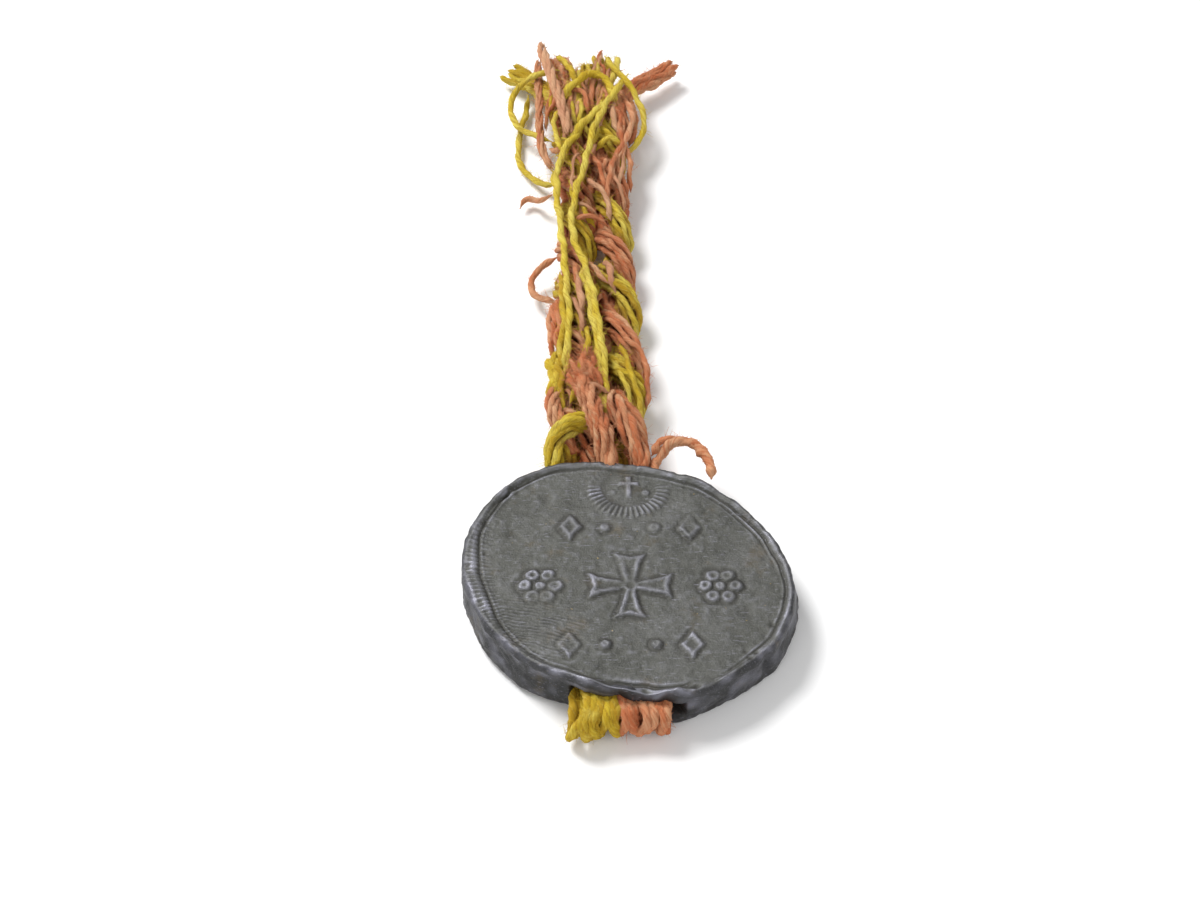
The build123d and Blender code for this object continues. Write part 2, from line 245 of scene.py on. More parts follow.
def face_height(x, y, inset, angle, relief):
    """Height of the struck face in millimetres over the plane the seal lies on.

    The flat field, a rim that rises towards the edge, the die's groove, the ornament as soft
    plateaus with a hollow middle, and the damage: dents, scuffs and the lips over the slot.
    """
    width = 0.75 + 1.05 * bump(angle_gap(angle, 184), 0, 26) + 0.3 * bump(angle_gap(angle, 92), 0, 20)
    width = width + 0.12 * noise(angle, 0 * angle, 9, 3)
    lower = bump(angle_gap(angle, 285), 0, 42)
    field = THICKNESS - FIELD_DEPTH
    top = bump(angle_gap(angle, 96), 0, 24)
    rise = 0.34 + 0.12 * noise(angle, 0 * angle, 11, 5) - 0.1 * lower - 0.16 * top
    height = field + rise * (1 - ease(width - 0.3, width + 0.7, inset))
    groove = 1 - 0.95 * lower - 0.5 * top
    height -= 0.15 * groove * bump(inset, width + 0.42 + 0.12 * noise(angle, 0 * angle, 5, 6), 0.13)
    height += 0.07 * groove * bump(inset, width + 0.75, 0.15)
    right = bump(angle_gap(angle, 38), 0, 30)
    height -= 0.12 * right * bump(inset, width + 1.0, 0.12)

    height += 0.1 * noise(x, y, 9.0, 11) * ease(0.6, 3, inset) + 0.05 * noise(x, y, 3.1, 12)
    height += 0.03 * noise(x, y, 1.1, 13) + 0.022 * noise(x, y, 0.45, 14)
    height += 0.1 * ease(3, 18, inset) - 0.04

    worn = np.clip(0.66 + 0.5 * noise(x, y, 3.1, 15) + 0.2 * noise(x, y, 1.1, 26), 0.1, 1.1)
    ornament = ornament_distance(x, y) + 0.07 * noise(x, y, 0.8, 16) + 0.07 * noise(x, y, 0.35, 29)
    plateau = ease(0.2, -0.22, ornament) - 0.5 * ease(-0.28, -0.8, ornament)
    height += relief * worn * plateau - 0.05 * bump(ornament, 0.35, 0.25)
    small = glory_distance(x, y) + 0.06 * noise(x, y, 0.6, 17)
    height += 0.75 * relief * worn * ease(0.15, -0.15, small)
    height += 0.6 * relief * (0.8 + 0.3 * noise(x, y, 1.7, 18)) * glory_rays(x, y)
    height -= 0.1 * bump(np.hypot(x - GLORY_X, y - GLORY_Y), 2.6, 0.9)

    arc = angle * EDGE_SCALE
    teeth = np.cos(2 * np.pi * arc / 0.62 + 1.2 * noise(x, y, 2.0, 19))
    band = bump(angle_gap(angle, 186), 0, 34) * ease(0.3, 0.9, inset)
    band = band * (1 - ease(width + 0.9, width + 2.2, inset))
    height += 0.055 * teeth * band
    across = (y + 0.22 * x) / 0.46 + 0.8 * noise(x, y, 1.9, 20)
    patch = bump(x, -10.8, 4.6) * bump(y, -7.6, 4.8)
    broken = np.clip(0.5 + 0.9 * noise(x, 3 * y, 1.6, 21), 0, 1.2)
    height += 0.08 * np.cos(2 * np.pi * across) * patch * broken
    for dent_x, dent_y, size, depth in DENTS:
        height -= depth * bump(np.hypot(x - dent_x, y - dent_y), 0, size)

    slot = ease(-14.5, -16.5, y)
    crest = 0.42 * bump(x, -4.6, 1.6) + 0.56 * bump(x, 4.8, 1.5) + 0.2 * bump(x, 0.2, 1.4)
    crest = crest + 0.16 * noise(x, y, 0.9, 27)
    height += slot * crest * bump(inset, 0.8, 0.55) * 1.2
    height -= slot * 0.26 * bump(x, 1.8, 1.5) * bump(inset, 0.5, 0.7)
    height -= slot * 0.36 * bump(inset, 1.8 + 0.35 * noise(x, 0 * x, 1.4, 28), 0.3) * bump(x, 0.5, 6.5)
    crease = bump(angle_gap(angle, 139), 0, 13)
    height -= 0.22 * crease * bump(inset, 1.15 + 0.25 * noise(angle, 0 * angle, 3, 22), 0.2)
    height += 0.14 * (0.35 + 0.65 * lower) * bump(inset, 0.62, 0.17)
    edge = 1 - ease(0.45, 1.3, inset)
    arc = EDGE_SCALE * angle
    facet = np.clip(noise(arc, 0 * angle, 2.1, 23) + 0.5 * noise(arc, inset, 0.8, 24), -0.2, 1)
    height -= edge * (0.05 + 0.2 * facet)
    nicks = np.random.default_rng(25)
    for _ in range(NICKS):
        turn = math.radians(nicks.uniform(0, 360))
        away = 18.3 - nicks.uniform(-0.3, 1.6)
        size = nicks.uniform(0.16, 0.5)
        gap = np.hypot(x - away * math.cos(turn), (y - away * math.sin(turn)) * nicks.uniform(0.7, 1.4))
        height -= nicks.uniform(0.05, 0.16) * bump(gap, 0, size)
    return height


def back_height(x, y, inset, relief):
    """Depth of the back under its rim: a plain cross and a ring of pellets, softly struck."""
    depth = 0.4 * ease(1.7, 2.6, inset)
    upright = np.maximum(np.abs(x) - 0.65, np.abs(y) - 7.5)
    bar = np.maximum(np.abs(x) - 4.5, np.abs(y - 2.5) - 0.65)
    cross = np.minimum(upright, bar) + 0.08 * noise(x, y, 0.9, 31)
    turn = np.degrees(np.arctan2(y, x))
    away = np.hypot(x, y)
    bead_turn = angle_gap((turn * 48 / 360 % 1) * 360, 180) / 48
    beads = np.hypot(away - 12.85, np.radians(bead_turn) * 12.85) - 0.42
    raised = ease(0.2, -0.25, cross) + 0.9 * ease(0.15, -0.25, beads)
    depth -= relief * raised * (0.85 + 0.2 * noise(x, y, 3.0, 32))
    depth += 0.07 * noise(x, y, 6.0, 33) * ease(1, 3, inset) + 0.02 * noise(x, y, 0.8, 34)
    return np.maximum(depth, 0.0)


def blurred(field, reach):
    """Mean of a field over a square of neighbours, one axis after the other."""
    for axis in (0, 1):
        padded = np.pad(field, [(reach, reach) if axis == a else (0, 0) for a in (0, 1)], mode="edge")
        total = np.zeros_like(field)
        for step in range(2 * reach + 1):
            near = slice(step, step + field.shape[axis])
            total += padded[near, :] if axis == 0 else padded[:, near]
        field = total / (2 * reach + 1)
    return field


def disc_grid(cells):
    """Square grid drawn out to a unit disc: x = u sqrt(1 - v2/2), y = v sqrt(1 - u2/2)."""
    u, v = np.meshgrid(np.linspace(-1, 1, cells + 1), np.linspace(-1, 1, cells + 1))
    return u * np.sqrt(1 - v * v / 2), v * np.sqrt(1 - u * u / 2)


def grid_border(cells):
    """Indices of the grid's outer knots, anticlockwise from the lower left corner."""
    side = np.arange(cells)
    wide = cells + 1
    return np.concatenate((side, cells + side * wide, cells * wide + cells - side, (cells - side) * wide))


def grid_quads(cells):
    """Quads of the square grid, as indices of its knots."""
    row, column = np.meshgrid(np.arange(cells), np.arange(cells), indexing="ij")
    first = (row * (cells + 1) + column).ravel()
    return np.stack((first, first + 1, first + cells + 2, first + cells + 1), axis=1)


def ring_quads(first, second):
    """Quads between two closed rings of indices."""
    return np.stack((first, second, np.roll(second, -1), np.roll(first, -1)), axis=1)


def new_piece(name, points, quads, triangles, material, values=None, uv=None):
    """Mesh object from arrays in millimetres, with point values and corner coordinates."""
    mesh = bpy.data.meshes.new(name)
    corners = np.concatenate((quads.ravel(), triangles.ravel())).astype(np.int32)
    starts = np.concatenate((np.arange(len(quads)) * 4, len(quads) * 4 + np.arange(len(triangles)) * 3))
    mesh.vertices.add(len(points))
    mesh.vertices.foreach_set("co", (points * MM).astype(np.float32).ravel())
    mesh.loops.add(len(corners))
    mesh.loops.foreach_set("vertex_index", corners)
    mesh.polygons.add(len(starts))
    mesh.polygons.foreach_set("loop_start", starts.astype(np.int32))
    mesh.polygons.foreach_set("use_smooth", np.arange(len(starts)) < len(quads))
    for label, value in (values or {}).items():
        mesh.attributes.new(label, "FLOAT", "POINT").data.foreach_set("value", value.astype(np.float32))
    if uv is not None:
        layer = mesh.uv_layers.new(name="UVMap")
        layer.data.foreach_set("uv", uv.astype(np.float32).ravel())
    mesh.update(calc_edges=True)
    mesh.validate()
    mesh.materials.append(material)
    piece = bpy.data.objects.new(name, mesh)
    bpy.context.scene.collection.objects.link(piece)
    return piece


def wall_shape(angle, z):
    """Radius of the hammered wall: the outline, smears, and a foot that bulges or draws back."""
    radius = seal_radius(angle)
    low = 1 - ease(0.5, 3.6, z)
    foot = 0.8 * bump(angle_gap(angle, 4), 0, 15) - 0.7 * bump(angle_gap(angle, 303), 0, 15)
    radius = radius + low * foot
    radius = radius + 0.3 * low * bump(angle_gap(angle, 225), 0, 14)
    middle = bump(z, 3.0, 1.9)
    arc = angle * WALL_SCALE
    radius = radius + 0.2 * noise(arc, z, 2.4, 41) * middle + 0.09 * noise(arc, z * 1.6, 0.9, 42)
    radius = radius + 0.04 * noise(arc, z * 2.5, 0.45, 43)
    return radius - 0.5 * bump(angle_gap(angle, 324), 0, 2.2) * middle


def pocket_push(x, y, z):
    """How far the wall is pushed in where the yarns run through it, at the mouth and the slot."""
    ragged = 0.25 * noise(x, 0 * x, 1.3, 44)
    droop = 0.4 * (y < 0) * (z > CHANNEL_Z)
    outer = CHANNEL_HALF_HEIGHT + 0.35 + ragged - droop
    high = ease(outer, CHANNEL_HALF_HEIGHT - 0.3 - droop, np.abs(z - CHANNEL_Z))
    mouth = ease(7.5, 6.6, np.abs(x - MOUTH_X)) * (y > 0)
    slot = ease(6.8, 5.3, np.abs(x - SLOT_X - 0.75)) * (y < 0)
    lip = 0.55 * bump(x, 0.6, 4.2) + 0.3 * noise(x, z, 1.3, 45) * bump(x, 0.0, 7.0)
    lip = lip * (y < 0) * ease(1.2, 5.0, z)
    return 2.6 * high * np.maximum(mouth, slot) + lip


def wall_ring(angle, inset, z):
    """One ring of wall points: the wall's radius less the inset, pushed in at the openings."""
    radius = wall_shape(angle, z) - inset
    x = radius * np.cos(np.radians(angle))
    y = radius * np.sin(np.radians(angle))
    return np.stack((x, y - np.sign(y) * pocket_push(x, y, z), z), axis=1)


def rim_wear_and_highlight(angle):
    """How bright the edge is made, part wear and part painted highlight: most below and at the left, in
    patches, least above.
    """
    rub = 0.35 + 0.55 * bump(angle_gap(angle, 275), 0, 38) + 0.4 * bump(angle_gap(angle, 185), 0, 32)
    rub = rub - 0.25 * bump(angle_gap(angle, 90), 0, 45)
    rub = rub + 0.6 * noise(EDGE_SCALE * angle, 0 * angle, 1.7, 55)
    rub = rub + 0.4 * bump(angle_gap(angle, 272), 0, 18)
    return np.clip(rub, 0.05, 1)


def make_seal_face(relief):
    """Struck face and wall: the disc grid raised by face_height, then rings down to the foot."""
    unit_x, unit_y = disc_grid(FACE_CELLS)
    angle = np.degrees(np.arctan2(unit_y, unit_x))
    away = np.minimum(np.hypot(unit_x, unit_y), 1.0)
    edge_inset = 0.5
    reach = seal_radius(angle)
    radius = away * (reach - edge_inset)
    x = radius * np.cos(np.radians(angle))
    y = radius * np.sin(np.radians(angle))
    inset = reach - radius
    height = face_height(x, y, inset, angle, relief)
    lift = height - blurred(height, 5)
    # Wear and painted highlight along the rim: brightest below and at the left, least above.
    rubbed_and_highlit = rim_wear_and_highlight(angle)
    touched_and_highlit = 0.4 + 0.4 * noise(x, y, 2.2, 53) + 0.5 * (1 - ease(1.0, 3.2, inset)) * rubbed_and_highlit
    # Lighter on raised edges of the relief: wear, and painted highlight.
    wear_and_highlight = np.clip(lift / 0.1, 0, 1) * touched_and_highlit
    wear_and_highlight = np.maximum(wear_and_highlight, (1 - ease(0.5, 1.1, inset)) * rubbed_and_highlit * (0.5 + 0.6 * noise(x, y, 0.9, 51)))
    # Darker in the hollows of the face.
    hollows_and_painted_shade = np.clip(-lift / 0.08, 0, 1)
    border = grid_border(FACE_CELLS)
    rim_angle = angle.ravel()[border]
    rim_arc = rim_angle * WALL_SCALE
    rim_z = height.ravel()[border]
    rings = []
    edge_wear_and_highlight = []
    shoulder = 6
    shoulder_drop = 0.75
    for step in range(1, shoulder + 1):
        turn = math.pi / 2 * step / shoulder
        z = rim_z - shoulder_drop * (1 - math.cos(turn))
        rings.append(wall_ring(rim_angle, edge_inset * (1 - math.sin(turn)), z))
        patchy = 0.6 + 0.5 * noise(rim_arc, z, 0.7, 54)
        # Shoulder of the wall: wear and painted highlight, fading down the wall.
        edge_wear_and_highlight.append((0.9 - 0.75 * step / shoulder) * rim_wear_and_highlight(rim_angle) * patchy)
    straight = 17
    straight_end = 0.85
    for step in range(1, straight + 1):
        z = (rim_z - shoulder_drop) * (1 - step / straight) + straight_end * step / straight
        rings.append(wall_ring(rim_angle, 0 * z, z))
        edge_wear_and_highlight.append(0.1 + 0.35 * noise(rim_arc, z, 1.3, 52))
    for inset_low, z_low in ((0.06, 0.62), (0.2, 0.4), (0.42, 0.26)):
        z = np.full(len(rim_z), z_low)
        rings.append(wall_ring(rim_angle, inset_low, z))
        edge_wear_and_highlight.append(np.full(len(z), 0.25))
    grid = np.stack((x.ravel(), y.ravel(), height.ravel()), axis=1)
    centre = np.array([[0.0, 0.0, 0.6]])
    points = np.concatenate([grid] + rings + [centre])
    first = len(grid)
    indices = [border] + [first + k * len(border) + np.arange(len(border)) for k in range(len(rings))]
    bands = [ring_quads(a, b) for a, b in zip(indices, indices[1:])]
    quads = np.concatenate([grid_quads(FACE_CELLS)] + bands)
    last = indices[-1]
    cap = np.stack((np.full(len(last), len(points) - 1), np.roll(last, -1), last), axis=1)
    # Painted shade: darker towards the foot of the wall and where the yarns go in at the openings.
    painted_wall_shade = np.concatenate([ease(2.6, 0.3, ring[:, 2]) * 0.6 + 0.5 * pocket_push(*ring.T)
                               for ring in rings])
    values = {
        "wear_and_highlight": np.clip(np.concatenate([wear_and_highlight.ravel()] + edge_wear_and_highlight + [[0.0]]), 0, 1),
        "hollows_and_painted_shade": np.clip(np.concatenate([hollows_and_painted_shade.ravel(), painted_wall_shade, [1.0]]), 0, 1),
        "wall": np.concatenate([np.zeros(len(grid)), np.ones(len(points) - len(grid))]),
    }
    return new_piece("seal_face", points, quads, cap, lead_material(), values)


def make_seal_back(relief):
    """Back of the disc and its rounded foot, closed inside by a low cone."""
    unit_x, unit_y = disc_grid(BACK_CELLS)
    angle = np.degrees(np.arctan2(unit_y, unit_x))
    away = np.minimum(np.hypot(unit_x, unit_y), 1.0)
    edge_inset = 1.15
    reach = wall_shape(angle, 0.3 + 0 * angle)
    radius = away * (reach - edge_inset)
    x = radius * np.cos(np.radians(angle))
    y = radius * np.sin(np.radians(angle))
    height = back_height(x, y, seal_radius(angle) - radius, relief)
    lift = blurred(height, 4) - height
    border = grid_border(BACK_CELLS)
    rim_angle = angle.ravel()[border]
    rings = [wall_ring(rim_angle, inset, np.full(len(border), z))
             for inset, z in ((0.85, 0.04), (0.6, 0.12), (0.42, 0.24), (0.44, 0.36))]
    grid = np.stack((x.ravel(), y.ravel(), height.ravel()), axis=1)
    points = np.concatenate([grid] + rings + [np.array([[0.0, 0.0, 1.2]])])
    first = len(grid)
    indices = [border] + [first + k * len(border) + np.arange(len(border)) for k in range(len(rings))]
    quads = [grid_quads(BACK_CELLS)[:, ::-1]] + [ring_quads(b, a) for a, b in zip(indices, indices[1:])]
    last = indices[-1]
    cap = np.stack((np.full(len(last), len(points) - 1), last, np.roll(last, -1)), axis=1)
    rest = len(points) - len(grid)
    values = {
        "wear_and_highlight": np.clip(np.concatenate([np.clip(lift / 0.08, 0, 1).ravel(), np.full(rest, 0.4)]), 0, 1),
        "hollows_and_painted_shade": np.concatenate([np.clip(-lift / 0.08, 0, 1).ravel(), np.full(rest, 0.3)]),
        "wall": np.zeros(len(points)),
    }
    return new_piece("seal_back", points, np.concatenate(quads), cap, lead_material(), values)


# Lines that the yarns follow

def curve_line(name, route):
    """Points in millimetres along the smooth curve whose control points are the route's."""
    curve = bpy.data.curves.new(name, "CURVE")
    curve.dimensions = "3D"
    curve.resolution_u = 24
    spline = curve.splines.new("NURBS")
    spline.points.add(len(route) - 1)
    knots = np.ones((len(route), 4))
    knots[:, :3] = np.array(route) * MM
    spline.points.foreach_set("co", knots.ravel())
    spline.order_u = 3
    spline.use_endpoint_u = True
    holder = bpy.data.objects.new(name, curve)
    mesh = bpy.data.meshes.new_from_object(holder)
    line = np.empty(len(mesh.vertices) * 3)
    mesh.vertices.foreach_get("co", line)
    bpy.data.objects.remove(holder)
    bpy.data.curves.remove(curve)
    bpy.data.meshes.remove(mesh)
    return line.reshape(-1, 3) / MM


def even(line, step):
    """The same line with evenly spaced points."""
    gaps = np.linalg.norm(np.diff(line, axis=0), axis=1)
    along = np.concatenate(([0], np.cumsum(gaps)))
    places = np.linspace(0, along[-1], max(int(round(along[-1] / step)) + 1, 4))
    return np.stack([np.interp(places, along, line[:, axis]) for axis in range(3)], axis=1)


def line_length(line):
    """Length of a line of points."""
    return float(np.linalg.norm(np.diff(line, axis=0), axis=1).sum())


def frames(line, side):
    """Two directions across the line at each point, the first as near to side as can be."""
    tangent = np.gradient(line, axis=0)
    tangent /= np.linalg.norm(tangent, axis=1)[:, None]
    first = np.array(side, float) - (tangent @ np.array(side, float))[:, None] * tangent
    first /= np.linalg.norm(first, axis=1)[:, None]
    return first, np.cross(tangent, first)


class Skein:
    """Collects yarns and loose fibres that make one piece."""

    def __init__(self, seed):
        self.random = np.random.default_rng(seed)
        self.points = []
        self.quads = []
        self.triangles = []
        self.quad_uv = []
        self.triangle_uv = []
        self.values = {"tone": [], "strand_valley_shade": []}
        self.cores = []
        self.count = 0

    def add(self, points, quads, triangles, quad_uv, triangle_uv, tone, strand_valley_shade):
        """Takes one more closed surface into the piece."""
        self.points.append(points)
        self.quads.append(quads + self.count)
        self.triangles.append(triangles + self.count)
        self.quad_uv.append(quad_uv)
        self.triangle_uv.append(triangle_uv)
        self.values["tone"].append(tone)
        self.values["strand_valley_shade"].append(strand_valley_shade)
        self.count += len(points)

    def yarn(self, line, radius, side=(1, 0, 0), lay=3.6, tone=None, taper=(0, 0), wander=0.08,
             hairs=5.2, depth=0.12, span=None, bare=None, fluff=1.4):
        """A twisted yarn: a lobed circle that turns as it is carried along the line.

        Radius at angle a and distance s is R (1 - depth (1 - |cos(a + 2 pi s / lay)|)) for a yarn of
        two strands, times a slow random swelling. Tapers give the lengths over which the ends thin
        out, hairs the loose fibres to the millimetre and fluff their greatest length. Only the rings
        with y inside the span are kept, and no loose fibres grow where y is inside bare.
        """
        random = self.random
        line = even(line, YARN_STEP)
        count = len(line)
        along = np.linspace(0, line_length(line), count)
        phases = random.uniform(0, 2 * math.pi, 6)
        first, second = frames(line, side)
        sway = wander * (np.sin(along * 1.1 + phases[0]) + 0.6 * np.sin(along * 2.3 + phases[1]))
        heave = wander * (np.sin(along * 0.9 + phases[2]) + 0.6 * np.sin(along * 1.9 + phases[3]))
        line = line + first * sway[:, None] + second * heave[:, None]
        swell = 1 + 0.09 * np.sin(along * 1.3 + phases[4]) + 0.06 * np.sin(along * 3.1 + phases[5])
        swell = swell * (1 + 0.04 * random.standard_normal(count))
        if taper[0]:
            swell = swell * (0.18 + 0.82 * ease(0, taper[0], along))
        if taper[1]:
            swell = swell * (0.18 + 0.82 * ease(0, taper[1], along[-1] - along))
        around = np.arange(YARN_SIDES) * 2 * math.pi / YARN_SIDES
        spin = around[None, :] + (2 * math.pi * along / lay)[:, None]
        lobe = np.abs(np.cos(spin))
        reach = radius * swell[:, None] * (1 - depth * (1 - lobe))
        reach = reach * (1 + 0.035 * random.standard_normal(reach.shape))
        cos, sin = np.cos(around)[None, :, None], np.sin(around)[None, :, None]
        spoke = cos * first[:, None, :] + sin * second[:, None, :]
        points = line[:, None, :] + reach[:, :, None] * spoke
        points[:, :, 2] = np.maximum(points[:, :, 2], LEAST_HEIGHT)
        if tone is None:
            tone = random.uniform(0.0, 1.0)
        tones = tone + 0.2 * np.sin(along * 0.55 + phases[1]) + 0.1 * np.sin(along * 1.5 + phases[0])
        if span:
            kept = np.flatnonzero((line[:, 1] >= span[0]) & (line[:, 1] <= span[1]))
            kept = slice(max(kept[0] - 1, 0), kept[-1] + 1)
            line, along, points = line[kept], along[kept], points[kept]
            lobe, tones = lobe[kept], tones[kept]
            count = len(line)
        sides = YARN_SIDES
        ring, column = np.meshgrid(np.arange(count - 1), np.arange(sides), indexing="ij")
        ring, column = ring.ravel(), column.ravel()
        after = (column + 1) % sides
        quads = np.stack((ring * sides + column, ring * sides + after,
                          (ring + 1) * sides + after, (ring + 1) * sides + column), axis=1)
        u = np.stack((column, column + 1, column + 1, column), axis=1) / sides
        v = np.stack((along[ring], along[ring], along[ring + 1], along[ring + 1]), axis=1)
        ends = np.stack((line[0], line[-1]))
        first_end, last_end = count * sides, count * sides + 1
        loop = np.arange(sides)
        turn = (loop + 1) % sides
        final = (count - 1) * sides
        triangles = np.concatenate((
            np.stack((np.full(sides, first_end), turn, loop), axis=1),
            np.stack((np.full(sides, last_end), final + loop, final + turn), axis=1)))
        tones = np.clip(tones, 0, 1)
        # The lobe values are kept for painted shade in the valleys between the strands.
        self.add(
            np.concatenate((points.reshape(-1, 3), ends)), quads, triangles,
            np.stack((u, v), axis=2).reshape(-1, 2), np.zeros((len(triangles) * 3, 2)),
            np.concatenate((np.repeat(tones, sides), [tone, tone])),
            np.concatenate((lobe.ravel(), [0.0, 0.0])))
        if bare:
            line = line[(line[:, 1] < bare[0]) | (line[:, 1] > bare[1])]
        self.fuzz(line, radius, int(hairs * YARN_STEP * len(line)), tone, fluff)

    def fuzz(self, line, radius, amount, tone, longest):
        """Loose fibres: thin three-sided tubes that leave the yarn and curl, p0 + a t + b t squared."""
        if amount < 1:
            return
        random = self.random
        knots, sides = HAIR_KNOTS, HAIR_SIDES
        start = line[random.integers(1, len(line) - 1, amount)]
        tangent = line[-1] - line[0]
        tangent = tangent / max(np.linalg.norm(tangent), 1e-6)
        out = random.standard_normal((amount, 3))
        out[:, 2] = np.abs(out[:, 2]) * 0.8
        out /= np.linalg.norm(out, axis=1)[:, None]
        drift = tangent * random.uniform(-1, 1, (amount, 1)) + 0.5 * random.standard_normal((amount, 3))
        drift /= np.maximum(np.linalg.norm(drift, axis=1), 1.0)[:, None]
        length = random.uniform(0.35, longest, (amount, 1))
        t = np.linspace(0, 1, knots)[None, :, None]
        body = start[:, None, :] + (out * radius * 0.8)[:, None, :]
        body = body + t * (out * length * 0.55)[:, None, :] + t * t * (drift * length * 0.75)[:, None, :]
        turn = np.arange(sides) * 2 * math.pi / sides
        cross = np.cross(out, drift)
        cross /= np.linalg.norm(cross, axis=1)[:, None]
        thick = HAIR_RADIUS * (1 - 0.7 * t[:, :, :, None])
        ring = (np.cos(turn)[None, None, :, None] * cross[:, None, None, :]
                + np.sin(turn)[None, None, :, None] * out[:, None, None, :])
        points = body[:, :, None, :] + thick * ring
        points[..., 2] = np.maximum(points[..., 2], LEAST_HEIGHT)
        base = (np.arange(amount) * knots * sides)[:, None, None]
        low = (np.arange(knots - 1) * sides)[None, :, None]
        column = np.arange(sides)[None, None, :]
        after = (column + 1) % sides
        near, far = base + low, base + low + sides
        corners = (near + column, near + after, far + after, far + column)
        grid = (amount, knots - 1, sides)
        quads = np.stack([np.broadcast_to(corner, grid).ravel() for corner in corners], axis=1)
        foot = (np.arange(amount) * knots * sides)[:, None]
        tip = foot + (knots - 1) * sides
        triangles = np.concatenate((foot + np.array([[0, 2, 1]]), tip + np.array([[0, 1, 2]])))
        total = amount * knots * sides
        self.add(points.reshape(-1, 3), quads, triangles, np.zeros((len(quads) * 4, 2)),
                 np.zeros((len(triangles) * 3, 2)), np.full(total, min(tone + 0.25, 1)), np.ones(total))

    def recess_shade(self, points):
        """Painted shade: 1 deep between the yarns of a ply or the plies of a leg, 0 at their outside."""
        deep = np.zeros(len(points))
        for line, low, high in self.cores:
            order = np.argsort(line[:, 1])
            gap_x = points[:, 0] - np.interp(points[:, 1], line[order, 1], line[order, 0])
            gap_z = points[:, 2] - np.interp(points[:, 1], line[order, 1], line[order, 2])
            deep = np.maximum(deep, 1 - ease(low, high, np.hypot(gap_x, gap_z)))
        return deep

    def piece(self, name, material):
        """Puts all that was collected into one mesh object."""
        points = np.concatenate(self.points)
        values = {label: np.concatenate(value) for label, value in self.values.items()}
        values["recess_shade"] = self.recess_shade(points)
        return new_piece(
            name, points, np.concatenate(self.quads), np.concatenate(self.triangles),
            material, values, np.concatenate(self.quad_uv + self.triangle_uv))


# Materials

def node(tree, kind, **settings):
    """New node of a tree with its settings."""
    made = tree.nodes.new(kind)
    for label, value in settings.items():
        setattr(made, label, value)
    return made


def mixed(tree, factor, first, second):
    """Colour mix; each of the three inputs is a socket or a constant."""
    mix = node(tree, "ShaderNodeMix", data_type="RGBA", blend_type="MIX")
    for socket, value in zip((mix.inputs[0], mix.inputs[6], mix.inputs[7]), (factor, first, second)):
        if isinstance(value, bpy.types.NodeSocket):
            tree.links.new(value, socket)
        else:
            socket.default_value = value
    return mix.outputs[2]


def figured(tree, operation, *values):
    """Math node; each input is a socket or a number."""
    made = node(tree, "ShaderNodeMath", operation=operation)
    for socket, value in zip(made.inputs, values):
        if isinstance(value, bpy.types.NodeSocket):
            tree.links.new(value, socket)
        else:
            socket.default_value = value
    return made.outputs[0]


def ranged(tree, value, low, high, to_low=0.0, to_high=1.0):
    """The value carried from one range to another, clamped."""
    made = node(tree, "ShaderNodeMapRange", clamp=True)
    tree.links.new(value, made.inputs[0])
    for socket, number in zip(made.inputs[1:5], (low, high, to_low, to_high)):
        socket.default_value = number
    return made.outputs[0]


def noise_at(tree, vector, scale, detail, roughness):
    """Noise texture at a place."""
    made = node(tree, "ShaderNodeTexNoise")
    tree.links.new(vector, made.inputs["Vector"])
    made.inputs["Scale"].default_value = scale
    made.inputs["Detail"].default_value = detail
    made.inputs["Roughness"].default_value = roughness
    return made.outputs["Fac"]


def attribute(tree, label):
    """A point value that the piece's mesh carries."""
    return node(tree, "ShaderNodeAttribute", attribute_name=label).outputs["Fac"]


def colour(values):
    """The colour with full opacity."""
    return (values[0], values[1], values[2], 1.0)


def new_material(name):
    """Material with its node tree and its shader."""
    material = bpy.data.materials.new(name)
    material.use_nodes = True
    tree = material.node_tree
    return material, tree, tree.nodes["Principled BSDF"]


